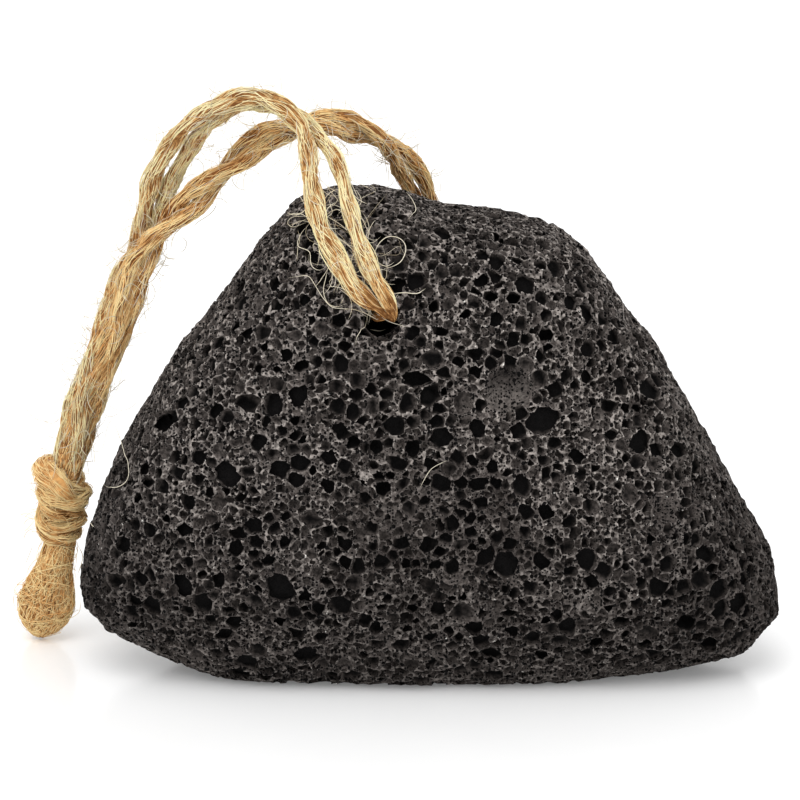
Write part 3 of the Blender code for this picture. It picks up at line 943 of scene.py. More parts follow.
    def pack(self) -> None:
        """Packs vesicles just under the skin, the largest first, so that none covers another.

        It fills two fields, with the distances to the nearest vesicle and to the one after it.
        """
        draw = np.random.default_rng(self.seed + 1)
        shape = self.skin.shape
        far = 3.0
        self.nearest = np.full(shape, far, np.float32)
        self.second = np.full(shape, far, np.float32)
        self.sunk = np.zeros(shape, np.float32)
        self.axes = [
            (np.arange(count) + first).astype(np.float32) * self.voxel
            for count, first in zip(shape, self.low, strict=True)
        ]
        self.shifts = self.wandering(draw)
        self.open_front_pits()
        calm = self.calm_places()
        depth, reach = self.home
        near = np.argwhere(np.abs(self.skin + depth) < reach)
        for kind in self.classes:
            log.info("%d vesicles packed", self.pack_class(draw, kind, near, calm))

    def wandering(self, draw: np.random.Generator) -> dict[tuple[int, int], np.ndarray]:
        """Draws the waves by which the vesicles' outlines wander off their balls.

        Args:
            draw: the random numbers.

        Returns:
            For each axis and each other axis, the shift along the first at places on the second.
        """
        shifts = {}
        for axis, other in permutations((0, 1, 2), 2):
            waves = sum(
                np.sin(self.axes[other] * (math.tau / width) + draw.uniform(0, math.tau))
                for width in self.warp_waves
            )
            shifts[axis, other] = spread((self.warp * waves).astype(np.float32), other)
        return shifts

    def calm_places(self) -> np.ndarray:
        """Finds the calm patches.

        Returns:
            Whether each voxel is in one.
        """
        calm = np.zeros(self.skin.shape, bool)
        for *middle, half in CALM_PATCHES:
            offs = [spread(self.axes[axis] - middle[axis], axis) for axis in (0, 1, 2)]
            calm |= sum(off**2 for off in offs) < half * half
        return calm

    def pack_class(
        self, draw: np.random.Generator, kind: VesicleClass, near: np.ndarray, calm: np.ndarray
    ) -> int:
        """Packs the vesicles of one size.

        Args:
            draw: the random numbers.
            kind: the size, and how many are tried.
            near: the voxels in which they may start.
            calm: whether a voxel is in a calm patch.

        Returns:
            How many there was room for.
        """
        picks = near[draw.integers(0, len(near), kind.tries)]
        radii = draw.uniform(*kind.radii, kind.tries)
        first, second = (
            np.sin((picks * self.voxel) @ np.array(wave) + shift)
            for shift, wave in enumerate(self.patch_waves)
        )
        radii *= 1.0 + self.patchy * first * second
        depth = -self.skin[tuple(picks.T)]
        fits = (depth > kind.sunk[0] * radii) & (depth < kind.sunk[1] * radii)
        small = (radii < self.calm_radius) & (draw.random(kind.tries) < self.calm_share)
        fits &= ~calm[tuple(picks.T)] | small
        turns = unit(draw.normal(size=(kind.tries, 3)))
        stretches = draw.uniform(-self.stretch, self.stretch, kind.tries)
        packed = 0
        for i in np.flatnonzero(fits):
            radius = float(radii[i])
            if self.nearest[tuple(picks[i])] > self.crowding * radius + self.apart:
                self.blow(picks[i], radius, turns[i], float(stretches[i]))
                packed += 1
        return packed

    def open_front_pits(self) -> None:
        """Blows the named pits of the front, each square to the surface round its mouth."""
        solid = faces_of(self.node)
        tries, reach = 8, 0.62  # places round a mouth, and how far out they are as a share of its size
        across = Vector(ACROSS)
        for x, z, width, height, depth in FRONT_PITS:
            places, normals = [], []
            for angle in np.arange(tries) * (math.tau / tries):
                right = reach * width * math.cos(angle)
                upward = reach * height * math.sin(angle)
                start = Vector((x + right, -1.0, z + upward))
                place, normal, _, _ = solid.ray_cast(start, Vector((0, 1, 0)))
                if place is not None:
                    places.append(place)
                    normals.append(normal)
            middle = np.array(sum(places, Vector()) / len(places))
            out = sum(normals, Vector()).normalized()
            turn = np.array([across, out.cross(across).normalized(), out])
            half = np.array([width / 2, height / 2, depth]) / MM
            self.blow_egg(np.round(middle / MM / self.voxel).astype(int) - self.low, half, turn)

    def around(self, home: np.ndarray, reach: float) -> tuple[tuple[slice, ...], list[np.ndarray]]:
        """Picks the block of the fields that a vesicle can change.

        Args:
            home: the voxel at its middle.
            reach: how far the vesicle itself goes.

        Returns:
            The block, and in it the way from the middle along each axis, with its waves.
        """
        voxels = int((reach + self.swell + self.margin) / self.voxel) + 1
        first = np.maximum(home - voxels, 0)
        last = np.minimum(home + voxels + 1, self.skin.shape)
        block = tuple(slice(low, high) for low, high in zip(first, last, strict=True))
        offs = []
        for axis, values in enumerate(self.axes):
            offs.append(spread(values[block[axis]] - values[home[axis]], axis))
        for axis, other in permutations((0, 1, 2), 2):
            view = [slice(None)] * 3
            view[other] = block[other]
            shift = self.shifts[axis, other]
            offs[axis] = offs[axis] + shift[tuple(view)] - shift.flat[home[other]]
        return block, offs

    def open_up(self, block: tuple[slice, ...], away: np.ndarray) -> None:
        """Adds a vesicle to the two fields.

        Args:
            block: the part of the fields that it changes.
            away: the distances from it there.
        """
        near = self.nearest[block]
        self.second[block] = np.minimum(self.second[block], np.maximum(near, away))
        self.nearest[block] = np.minimum(near, away)

    def blow(self, home: np.ndarray, radius: float, turn: np.ndarray, stretch: float) -> None:
        """Blows one vesicle.

        Args:
            home: the voxel at its middle.
            radius: its radius.
            turn: the direction in which it is squeezed.
            stretch: by which share it is.
        """
        block, offs = self.around(home, radius * self.ball_reach)
        away = sum(off * off for off in offs)
        along = sum(off * np.float32(share) for off, share in zip(offs, turn, strict=True))
        self.open_up(block, np.sqrt(away + along * along * ((1 + stretch) ** 2 - 1)) - radius)

    def blow_egg(self, home: np.ndarray, half: np.ndarray, turn: np.ndarray) -> None:
        """Blows one egg-shaped vesicle with its middle on the surface.

        Args:
            home: the voxel at its middle.
            half: its half-sizes across, up and inwards.
            turn: those three directions, one row each.
        """
        block, offs = self.around(home, half.max())
        own = [sum(off * np.float32(part) for off, part in zip(offs, row, strict=True)) for row in turn]
        share = np.sqrt(sum((value / size) ** 2 for value, size in zip(own, half, strict=True)))
        flattened = 0.95  # makes up for the egg's distances, which are those of its least half-size
        self.open_up(block, (share - 1.0) * half.min() * flattened + self.swell)
        inside = share < 1.25  # a little past the wall, which the swelling moves out
        self.sunk[block] = np.maximum(self.sunk[block], np.where(inside, -own[2], 0.0))

    def carve(self) -> np.ndarray:
        """Cuts the vesicles out of the form.

        Returns:
            The field of the carved stone.
        """
        between = 0.5 * (self.second - self.nearest)
        vesicle = np.maximum(self.nearest - self.swell, 0.5 * self.wall - between)
        self.edge = np.maximum(vesicle, -self.skin - self.deepest)
        dimple = self.dimple * np.clip(self.edge - self.rim_width, 0.0, self.dimple_reach)
        return np.maximum(self.skin + dimple, -self.edge)

    def surface(self, carved: np.ndarray) -> bpy.types.Object:
        """Turns a field into a mesh.

        Args:
            carved: the field.

        Returns:
            The new object.
        """
        grid = openvdb.FloatGrid(3.0)
        first = tuple(int(v) for v in self.low)
        grid.copyFromArray(carved.astype(np.float32), ijk=first, tolerance=0.0)
        grid.transform = openvdb.createLinearTransform(voxelSize=self.voxel)
        points, triangles, quads = grid.convertToPolygons(isovalue=0.0, adaptivity=0.0)
        return mesh_from(self.node + "_body", points * MM, [quads[:, ::-1], triangles[:, ::-1]])

    def thin_out(self, made: bpy.types.Object) -> None:
        """Collapses edges until the mesh is within its face budget: first behind, then in front.

        Args:
            made: the carved stone, whose mesh is replaced.
        """
        places = corners_of(made.data) / MM
        depth = -self.sample(self.skin, places)
        back, slope, height = self.seam
        behind = places[:, 1] - back > slope * (places[:, 2] - height)
        behind |= places[:, 2] < self.foot
        start, growth = self.pit_depths
        weights = self.top_weight + self.pit_weight * np.clip((depth - start) / growth, 0.0, 1.0)
        faces = 2 * len(made.data.polygons)
        middle = faces * (1.0 - behind.mean()) + self.back_budget
        self.add_stage(made, "behind", np.where(behind, weights, 0.0), middle / faces)
        self.add_stage(made, "front", np.where(behind, 0.0, weights), self.face_budget / middle)
        graph = bpy.context.evaluated_depsgraph_get()
        mesh = bpy.data.meshes.new_from_object(made.evaluated_get(graph))
        made.modifiers.clear()
        made.data = mesh

    def add_stage(self, made: bpy.types.Object, name: str, weights: np.ndarray, ratio: float) -> None:
        """Adds one thinning stage.

        Args:
            made: the carved stone.
            name: the stage's name.
            weights: how readily each vertex goes, from 0, never, to 1; they are kept in tenths.
            ratio: the share of the faces that is left.
        """
        group = made.vertex_groups.new(name=name)
        levels = 10
        for level in range(levels + 1):
            rows = np.flatnonzero(np.round(weights * levels) == level)
            group.add(rows.tolist(), level / levels, "REPLACE")
        modifier = made.modifiers.new(name, "DECIMATE")
        modifier.ratio = ratio
        modifier.vertex_group = group.name
        modifier.vertex_group_factor = self.thinning

    def sample(self, values: np.ndarray, places: np.ndarray) -> np.ndarray:
        """Reads a field at some places.

        Args:
            values: the field.
            places: the places, one row each.

        Returns:
            The value at each.
        """
        voxels = places / self.voxel - self.low
        whole = np.clip(voxels.astype(int), 0, np.array(values.shape) - 2)
        part = voxels - whole
        read = np.zeros(len(places))
        for step in product((0, 1), repeat=3):
            weight = math.prod(part[:, axis] if up else 1 - part[:, axis] for axis, up in enumerate(step))
            read += weight * values[tuple((whole + step).T)]
        return read

    def mark(self, made: bpy.types.Object) -> None:
        """Keeps the mesh in the solid's box, and on it each depth and distance from the nearest pit.

        Args:
            made: the carved stone.
        """
        mesh = made.data
        low, high = (np.array(corner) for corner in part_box(self.node))
        corners = np.clip(corners_of(mesh), low, high)
        mesh.vertices.foreach_set("co", corners.ravel())
        places = corners / MM
        store(mesh, "depth", self.sample(np.maximum(-self.skin, self.sunk), places))
        store(mesh, "edge", self.sample(self.edge, places))
        mesh.shade_smooth()
        mesh.set_sharp_from_angle(angle=self.sharp)


# ---- The twine ----

TWINE_DIAMETER = 1.9 * MM
STRAND_SHIFT = (TWINE_DIAMETER + 0.3 * MM) / 2  # from the middle of a pair to each of its strands
WOUND_SHIFT = 1.1 * STRAND_SHIFT
WOUND_FROM = 25.5 * MM  # length of the back pair that isn't wound
HALF_TURN = 12.6 * MM  # length in which the back pair, once wound, changes sides
TWINE_STEP = 3.8 * MM
BUNDLE_TURN = math.radians(170)
RIM_PLACE = np.array([-7.4, -18.9, 56.5]) * MM  # where the front pair bends over the hole's rim
RIM_SHIFTS = np.array([[2.0, 0.0, 0.6], [0.7, 0.0, 0.5]]) * MM  # of the left strand and of the right
RIM_REACH = 2.8 * MM
KNOT_PLACE = (-52.9, 9.2, 21.4)  # millimetres
KNOT_MIDDLE = np.array(KNOT_PLACE) * MM
INTO_KNOT = 2.2 * MM
FINE_STEP = 0.25 * MM
BENT_POINTS = 8  # how many fine points before the knot give way to the bend into it
BEND_SHARE = 0.45
SMOOTH_STEP = 1.5 * MM

FRONT_LEFT_ROUTE = [
    (-0.0050, -0.0003, 0.0554), (-0.0063, -0.0080, 0.0554), (-0.0074, -0.0146, 0.0554),
    (-0.0079, -0.0187, 0.0563), (-0.0086, -0.0208, 0.0590), (-0.0112, -0.0207, 0.0623),
    (-0.0129, -0.0193, 0.0654), (-0.0149, -0.0174, 0.0688), (-0.0160, -0.0152, 0.0722),
    (-0.0165, -0.0132, 0.0750), (-0.0168, -0.0110, 0.0784), (-0.0178, -0.0097, 0.0818),
    (-0.0199, -0.0088, 0.0837), (-0.0225, -0.0079, 0.0850), (-0.0256, -0.0067, 0.0850),
    (-0.0291, -0.0048, 0.0834), (-0.0327, -0.0026, 0.0807), (-0.0360, -0.0006, 0.0771),
    (-0.0378, 0.0007, 0.0740), (-0.0389, 0.0016, 0.0707), (-0.0401, 0.0021, 0.0672),
    (-0.0406, 0.0021, 0.0636),
]
FRONT_RIGHT_ROUTE = [
    (-0.0028, -0.0003, 0.0554), (-0.0041, -0.0080, 0.0554), (-0.0052, -0.0148, 0.0554),
    (-0.0056, -0.0189, 0.0564), (-0.0059, -0.0209, 0.0595), (-0.0080, -0.0204, 0.0633),
    (-0.0097, -0.0183, 0.0672), (-0.0110, -0.0158, 0.0710), (-0.0120, -0.0132, 0.0744),
    (-0.0130, -0.0108, 0.0770), (-0.0152, -0.0083, 0.0792), (-0.0171, -0.0067, 0.0812),
    (-0.0194, -0.0058, 0.0828), (-0.0222, -0.0051, 0.0835), (-0.0255, -0.0040, 0.0832),
    (-0.0289, -0.0024, 0.0815), (-0.0313, -0.0006, 0.0789), (-0.0336, 0.0008, 0.0758),
    (-0.0352, 0.0017, 0.0729), (-0.0366, 0.0024, 0.0700), (-0.0377, 0.0028, 0.0667),
    (-0.0385, 0.0026, 0.0636),
]
BACK_ROUTE = [
    (-0.0039, 0.0003, 0.0554), (-0.0025, 0.0085, 0.0554), (-0.0014, 0.0152, 0.0554),
    (-0.0007, 0.0192, 0.0565), (-0.0004, 0.0211, 0.0597), (-0.0009, 0.0200, 0.0637),
    (-0.0024, 0.0172, 0.0679), (-0.0042, 0.0145, 0.0711), (-0.0061, 0.0116, 0.0737),
    (-0.0096, 0.0086, 0.0764), (-0.0134, 0.0056, 0.0782), (-0.0172, 0.0032, 0.0787),
    (-0.0205, 0.0014, 0.0780), (-0.0240, 0.0000, 0.0769), (-0.0276, -0.0010, 0.0739),
    (-0.0312, -0.0017, 0.0706), (-0.0343, -0.0021, 0.0679), (-0.0368, -0.0020, 0.0655),
    (-0.0390, -0.0015, 0.0627),
]
BUNDLE_ROUTE = [
    (-0.0408, 0.0003, 0.0594), (-0.0424, 0.0007, 0.0562), (-0.0436, 0.0013, 0.0522),
    (-0.0448, 0.0020, 0.0487), (-0.0461, 0.0030, 0.0454), (-0.0473, 0.0041, 0.0421),
    (-0.0485, 0.0052, 0.0390), (-0.0496, 0.0062, 0.0357), (-0.0505, 0.0071, 0.0325),
    (-0.0512, 0.0079, 0.0297),
]

BUNDLE_END = np.array(BUNDLE_ROUTE[-1])


@dataclass
class Track:
    """A middle line, the directions round it and the length reached along it, point by point."""

    line: np.ndarray
    sides: np.ndarray = field(init=False)
    uprights: np.ndarray = field(init=False)
    along: np.ndarray = field(init=False)

    def __post_init__(self) -> None:
        """Works out the directions and the lengths."""
        self.sides, self.uprights = frames_along(self.line, ACROSS)
        self.along = np.linspace(0.0, length_of(self.line), len(self.line))

    def outward(self, angle: np.ndarray) -> np.ndarray:
        """Gives the directions at angles round the line."""
        return self.sides * np.cos(angle)[..., None] + self.uprights * np.sin(angle)[..., None]


class Strand(Enum):
    """The four strands, each with its place in the bundle: to the right and to the back."""

    FRONT_LEFT = ("front_strand_left", -1, 1)
    FRONT_RIGHT = ("front_strand_right", 1, 1)
    BACK_LEFT = ("back_strand_left", 1, -1)
    BACK_RIGHT = ("back_strand_right", -1, -1)

    @property
    def node(self) -> str:
        """The name of the strand's solid."""
        return self.value[0]

    @property
    def in_front(self) -> bool:
        """Whether the strand leaves the hole at the front."""
        return self in (Strand.FRONT_LEFT, Strand.FRONT_RIGHT)

    def upper_route(self) -> list[Sequence[float]]:
        """Gives the strand's way from inside the hole to where the four meet.

        Returns:
            Its points.
        """
        if self is Strand.FRONT_LEFT:
            return FRONT_LEFT_ROUTE
        if self is Strand.FRONT_RIGHT:
            return FRONT_RIGHT_ROUTE
        return list(self.wound(-1 if self is Strand.BACK_LEFT else 1))

    @staticmethod
    def wound(end: int) -> np.ndarray:
        """Winds one strand of the back pair round the pair's middle line.

        Args:
            end: 1 for one strand and -1 for the other.

        Returns:
            The points of its line.
        """
        track = Track(evenly_spaced(curve_through(BACK_ROUTE), TWINE_STEP))
        turns = np.maximum(0.0, np.arange(len(track.line)) * TWINE_STEP - WOUND_FROM) / HALF_TURN
        angles = math.pi * np.where(turns < 1, turns**2 / 2, turns - 0.5)
        return track.line + end * WOUND_SHIFT * track.outward(angles)

    def lower_route(self) -> np.ndarray:
        """Gives the strand's way down the bundle, in which the four wind slowly round each other.

        Returns:
            Its points.
        """
        track = Track(np.array(BUNDLE_ROUTE))
        _, across, back = self.value
        turned = np.linspace(0.0, BUNDLE_TURN, len(track.line))[:, None]
        right = track.sides * np.cos(turned) - track.uprights * np.sin(turned)
        rear = -track.sides * np.sin(turned) - track.uprights * np.cos(turned)
        return track.line + WOUND_SHIFT * (across * right + back * rear)

    def line(self) -> np.ndarray:
        """Gives the strand's whole middle line."""
        route = np.vstack([self.upper_route(), self.lower_route()])
        return evenly_spaced(curve_through(route), TWINE_STEP)

    def drawn_line(self) -> np.ndarray:
        """Gives the line that the fibres follow: the front pair draws together over the hole's rim.

        Returns:
            Its points.
        """
        line = evenly_spaced(self.line(), FINE_STEP)
        onward = unit(KNOT_MIDDLE - line[-1]) * INTO_KNOT
        line = np.vstack([line[:-BENT_POINTS], line[-1] + BEND_SHARE * onward, line[-1] + onward])
        line = evenly_spaced(curve_through(evenly_spaced(line, SMOOTH_STEP)), FINE_STEP)
        if not self.in_front:
            return line
        shift = RIM_SHIFTS[int(self is Strand.FRONT_RIGHT)]
        away = np.linalg.norm(line - RIM_PLACE, axis=1) / RIM_REACH
        return line + np.exp(-(away**2))[:, None] * shift


@dataclass
class TwineLay:
    """How a strand is laid up: plies round each other, fibres along each ply."""

    plies: int = 2
    ply_radius: float = 0.72 * MM
    ply_offset: float = 0.46 * MM
    turn: float = 15.0 * MM  # length in which the plies go once round
    loose_turn: float = 0.5  # radians by which a ply strays from that
    core_share: float = 0.84  # of the ply's radius, filled below its fibres
    core_sides: int = 8
    core_shade_tints: Span = (0.6, 0.40)  # painted shade: its share of the fibres' tint, and what is taken off that
    uneven: float = 0.14  # share by which a ply thickens and thins along its length
    uneven_length: float = 7.0 * MM
    fibres: int = 56
    fibre_radius: Span = (0.032 * MM, 0.072 * MM)
    fibre_turn: float = 48.0 * MM  # length in which the fibres go once round their ply
    fibre_wave: float = 4.5 * MM  # length in which a fibre swings once
    wander: float = 1.05  # radians by which it swings
    fibre_uneven: float = 0.25
    depths: Span = (0.91, 0.08)  # a fibre's distance from its ply's middle, and how much that varies
    lifted_above: float = 0.62  # noise beyond which a fibre stands off its ply
    lift: float = 0.75
    step: float = 0.95 * MM
    pale: float = 0.62
    fibre_tints: Span = (0.22, 0.22)  # how much they differ from fibre to fibre, and along one
    outer_tint: float = 0.10  # what is added to the tint on the outside
    groove_shade: float = 0.55  # and the painted shade that lowers it in the grooves between the plies
    groove: Span = (0.86, 0.30)  # where a groove starts, as a share of the strand's radius, and its depth
    lifted_tint: float = 0.35
    phase: float = 0.0
    hole_shade: float = 0.0  # painted shade: how much darker the strand is where it starts, in the hole and at its mouth
    hole_shade_length: float = 9.0 * MM
    hole_shade_until: float = 20.0 * MM
    narrow: float = 0.0  # share by which the strand is drawn in where it starts
    narrow_length: float = 6.0 * MM
    narrow_until: float = 18.6 * MM

    def batches(self, line: np.ndarray, seed: int) -> list[FibreBatch]:
        """Lays the strand along a line.

        Args:
            line: the strand's middle line.
            seed: picks its random fibres.

        Returns:
            The core of each ply and, after it, the fibres over it.
        """
        draw = np.random.default_rng(seed)
        track = Track(evenly_spaced(evenly_spaced(line, FINE_STEP), self.step))
        points = len(track.line)
        waves = max(2, round(track.along[-1] / self.uneven_length))
        beyond = (track.along - self.narrow_until) / self.narrow_length
        drawn_in = 1.0 - self.narrow * np.clip(1.0 - beyond, 0.0, 1.0)
        made = []
        for ply in range(self.plies):
            angle = self.phase + math.tau * track.along / self.turn + math.tau * ply / self.plies
            angle = angle + self.loose_turn * smooth_noise(draw, 1, points, waves)[0]
            girth = drawn_in * (1.0 + self.uneven * smooth_noise(draw, 1, points, waves)[0])
            middle = track.line + track.outward(angle) * self.ply_offset * drawn_in[:, None]
            made.append(self.core(middle, girth))
            made.append(self.fibres_round(track, middle, girth, draw))
        return made

    def core(self, middle: np.ndarray, girth: np.ndarray) -> FibreBatch:
        """Makes the body of one ply, darkened with painted shade, which shows between its fibres.

        Args:
            middle: the ply's middle line.
            girth: how thick it is at each point, as a share of its usual radius.

        Returns:
            The body, as one thick fibre.
        """
        radii = (self.core_share * self.ply_radius * girth)[None]
        share, less = self.core_shade_tints
        tints = np.full(radii.shape, share * self.pale - less)
        return FibreBatch(middle[None], radii, tints, self.core_sides)

    def fibres_round(
        self, track: Track, middle: np.ndarray, girth: np.ndarray, draw: np.random.Generator
    ) -> FibreBatch:
        """Lays the fibres of one ply.

        Args:
            track: the strand's middle line.
            middle: the ply's middle line.
            girth: how thick the ply is at each of its points, as a share of its usual radius.
            draw: the random numbers.

        Returns:
            The fibres.
        """
        count, points, along = self.fibres, len(middle), track.along
        waves = max(3, round(along[-1] / self.fibre_wave))

        def noise(times: int = 1) -> np.ndarray:
            """Draws one slow curve for each fibre, with so many times the usual waves."""
            return smooth_noise(draw, count, points, times * waves)

        first = draw.uniform(0, math.tau, count)[:, None]
        angle = first + self.wander * noise() - math.tau * along[None] / self.fibre_turn
        lifted = np.clip(noise() - self.lifted_above, 0.0, 1.0)
        away = (self.depths[0] + self.depths[1] * noise(2) + self.lift * lifted) * self.ply_radius
        lines = middle + track.outward(angle) * (away * girth)[..., None]
        radii = draw.uniform(*self.fibre_radius, (count, 1)) * (1.0 + self.fibre_uneven * noise(2))
        tints = draw.normal(self.pale, self.fibre_tints[0], (count, 1)) + self.fibre_tints[1] * noise()
        # painted shade on the fibres that lie in the grooves between the plies
        from_axis = np.linalg.norm(lines - track.line, axis=2) / (self.ply_offset + self.ply_radius)
        start, depth = self.groove
        sunk = np.clip((start - from_axis) / depth, 0.0, 1.0)
        # painted shade where the strand leaves the hole
        beyond = np.clip((along - self.hole_shade_until) / self.hole_shade_length, 0.0, 1.0)
        tints = tints + self.outer_tint - self.groove_shade * sunk
        tints = tints + self.lifted_tint * lifted - self.hole_shade * (1.0 - beyond)
        return FibreBatch(lines, radii, tints)


def front_lay(offset: float, radius: float, pale: float, phase: float) -> TwineLay:
    """Describes a front strand, which leaves the hole darkened with painted shade and drawn in."""
    return TwineLay(
        ply_offset=offset, ply_radius=radius, pale=pale, phase=phase, hole_shade=0.50, narrow=0.42
    )


def back_lay(pale: float, phase: float) -> TwineLay:
    """Describes a back strand."""
    return TwineLay(ply_offset=0.36 * MM, ply_radius=0.90 * MM, pale=pale, phase=phase)


@dataclass
class HangingLoop:
    """The four strands between the hole and the knot."""

    seed: int = 100
    finishes: dict[bool, JuteFinish] = field(
        # the front strands wear the jute with painted light
        default_factory=lambda: {True: LIT_JUTE, False: BROWN_JUTE}
    )
    lays: dict[Strand, TwineLay] = field(
        default_factory=lambda: {
            Strand.FRONT_LEFT: front_lay(0.42 * MM, 1.02 * MM, pale=0.90, phase=0.0),
            Strand.FRONT_RIGHT: front_lay(0.34 * MM, 0.87 * MM, pale=0.92, phase=0.8),
            Strand.BACK_LEFT: back_lay(pale=0.76, phase=1.7),
            Strand.BACK_RIGHT: back_lay(pale=0.80, phase=2.6),
        }
    )

    def build(self) -> dict[Strand, bpy.types.Object]:
        """Lays the strands.

        Returns:
            The piece of each strand.
        """
        made = {}
        for number, (strand, lay) in enumerate(self.lays.items()):
            batches = lay.batches(strand.drawn_line(), self.seed + number)
            piece = fibre_mesh(f"{strand.node}_twine", batches)
            dress(piece, self.finishes[strand.in_front].material(), strand.node)
            made[strand] = piece
        return made

    def declare(
        self, made: dict[Strand, bpy.types.Object]
    ) -> None:
        """Works out each strand's middle line, which nothing further uses.

        Args:
            made: the piece of each strand.
        """
        for strand, piece in made.items():
            line = strand.line()


# ---- The knot and the tail ----

CORE_SIDES = 16


def standing(upward: Vector, across: Sequence[float] = ACROSS) -> Matrix:
    """Makes a turn that takes Z to one direction and keeps X near another.

    Args:
        upward: where Z goes.
        across: where X goes, as near as it can.

    Returns:
        The turn.
    """
    up = upward.normalized()
    back = up.cross(Vector(across)).normalized()
    return Matrix((back.cross(up), back, up)).transposed().to_4x4()


@dataclass(frozen=True)
class Wrap:
    """One wrap of the knot, in millimetres and degrees."""

    height: float  # above the knot's middle
    right: float  # how steeply it falls to the right
    front: float  # how steeply it falls to the front
    reach: float
    shift: float  # how far it sits to the right of the knot's middle
    thick: float
    pale: float

    def line(self, place: Matrix, number: int) -> np.ndarray:
        """Draws the wrap's middle line.

        Args:
            place: the knot's own axes.
            number: counts the wraps, so that each is uneven in its own way.

        Returns:
            The line, in metres.
        """
        right = Matrix.Rotation(math.radians(self.right), 3, "Y")
        turn = right @ Matrix.Rotation(math.radians(self.front), 3, "X")
        middle = Vector((self.shift, 0, self.height))
        flatness, steps = 0.92, 48
        uneven = ((0.14, 3, 1), (0.10, 5, 2))  # height, waves round the knot, shift from wrap to wrap
        line = []
        for step in range(steps + 1):
            angle = math.tau * step / steps
            radius = self.reach
            for height, waves, shift in uneven:
                radius += height * math.sin(waves * angle + shift * number)
            local = Vector((radius * math.cos(angle), flatness * radius * math.sin(angle), 0.0))
            line.append(place @ (turn @ local + middle) * MM)
        return np.array(line)


@dataclass
class Knot:
    """The knot: wraps of twine round the ends of the four strands. Plain lengths are millimetres."""

    node: str = "knot"
    seed: int = 31
    middle: Vector = field(default_factory=lambda: Vector(KNOT_PLACE))
    lean: Vector = field(default_factory=lambda: Vector((-2.4, 1.6, -14.2)))
    wraps: tuple[Wrap, ...] = (
        Wrap(-4.6, 4.0, 16.0, 2.15, 0.1, 0.84, 0.84),
        Wrap(-2.3, -3.0, 38.0, 2.70, 0.0, 0.92, 1.02),
        Wrap(-1.0, 6.0, 2.0, 2.35, 0.1, 0.82, 0.86),
        Wrap(1.3, -6.0, 8.0, 2.75, 0.0, 0.98, 1.12),
        Wrap(2.8, 12.0, -14.0, 2.35, 0.0, 0.84, 1.00),
        Wrap(3.5, 34.0, 4.0, 2.10, -0.85, 1.60, 1.22),
    )
    wrap_fibres: int = 60
    wrap_turn: float = 12 * MM
    wrap_step: float = 0.7 * MM
    wrap_seed: int = 300
    end_seed: int = 350
    core_reach: float = 2.2
    core_height: float = 5.6
    core_points: int = 13
    core_ends: float = 0.02  # the square of how thick it is there, as a share of its reach
    core_shade: float = 0.15
    end_tint: float = 0.5
    hairs: int = 90
    hair_steps: int = 10
    hair_stride: float = 0.40 * MM
    hair_radius: Span = (0.024 * MM, 0.045 * MM)
    hair_tint: float = 0.85
    hair_splay: float = 0.2  # how much a hair starts outwards
    hair_start: float = 0.6  # distance from the middle of its ply
    hair_tightness: Span = (300, 1000)  # radians per metre
    curl_start: float = 0.75
    curl_tightness: Span = (300, 900)

    def build(self) -> bpy.types.Object:
        """Winds the knot.

        Returns:
            Its piece.
        """
        draw = np.random.default_rng(self.seed)
        place = Matrix.Translation(self.middle) @ standing(-self.lean)
        batches = [self.core(place), *self.ends()]
        shedding = []
        for number, wrap in enumerate(self.wraps):
            lay = TwineLay(
                ply_radius=wrap.thick * MM, ply_offset=0.5 * wrap.thick * MM, turn=self.wrap_turn,
                step=self.wrap_step, fibres=self.wrap_fibres, pale=wrap.pale, phase=number,
            )
            wound = lay.batches(wrap.line(place, number), self.wrap_seed + number)
            batches += wound
            if number > 0:
                shedding += [core.lines[0, 3:-3:2] for core in wound[::2]]
        batches.append(self.freed(draw, np.concatenate(shedding)))
        piece = fibre_mesh("knot_wraps", batches)
        dress(piece, BROWN_JUTE.material(), self.node)
        return piece

    def core(self, place: Matrix) -> FibreBatch:
        """Fills the inside of the knot, so that no light shows through it; its dark tint is painted shade
        between the wraps.

        Args:
            place: the knot's own axes.

        Returns:
            The filling, as one thick fibre.
        """
        shares = np.linspace(-1.0, 1.0, self.core_points)
        line = [place @ Vector((0, 0, share * self.core_height)) * MM for share in shares]
        radii = self.core_reach * MM * np.sqrt(np.maximum(1.0 - shares**2, self.core_ends))[None]
        tints = np.full(radii.shape, self.core_shade)
        return FibreBatch(np.array(line)[None], radii, tints, CORE_SIDES)

    def ends(self) -> list[FibreBatch]:
        """Brings the four strands into the knot from above.

        Returns:
            Their ends.
        """
        batches = []
        for number, strand in enumerate(Strand):
            last = strand.drawn_line()[-9::4]  # three points, a millimetre apart
            line = curve_through([*last, 0.5 * (last[-1] + KNOT_MIDDLE)])
            lay = TwineLay(pale=self.end_tint, phase=number)
            batches += lay.batches(evenly_spaced(line, self.wrap_step), self.end_seed + number)
        return batches

    def freed(self, draw: np.random.Generator, places: np.ndarray) -> FibreBatch:
        """Frees some fibres from the wraps: hairs that stand off and curls that lie close.

        Args:
            draw: the random numbers.
            places: where they may start, inside the wraps.

        Returns:
            The fibres.
        """
        starts = places[draw.integers(0, len(places), self.hairs)]
        out = unit(starts - np.array(self.middle) * MM)
        steps, stride = self.hair_steps, self.hair_stride
        ahead = unit(self.hair_splay * out + draw.normal(size=out.shape))
        first = starts + out * self.hair_start * MM
        hairs = wandering_lines(draw, first, ahead, steps, stride, self.hair_tightness)
        around = unit(np.cross(out, draw.normal(size=out.shape)))
        first = starts + out * self.curl_start * MM
        curls = wandering_lines(draw, first, around, steps, stride, self.curl_tightness)
        return hair_batch(draw, np.concatenate([hairs, curls]), self.hair_radius, self.hair_tint)


@dataclass(frozen=True)
class CurlKind:
    """One kind of fibre that curls over the tail."""

    count: int
    steps: int
    shell: Span  # how far out it may be, as shares of the half-width
    tightness: Span  # radians per metre
    radius: Span
    pale: float


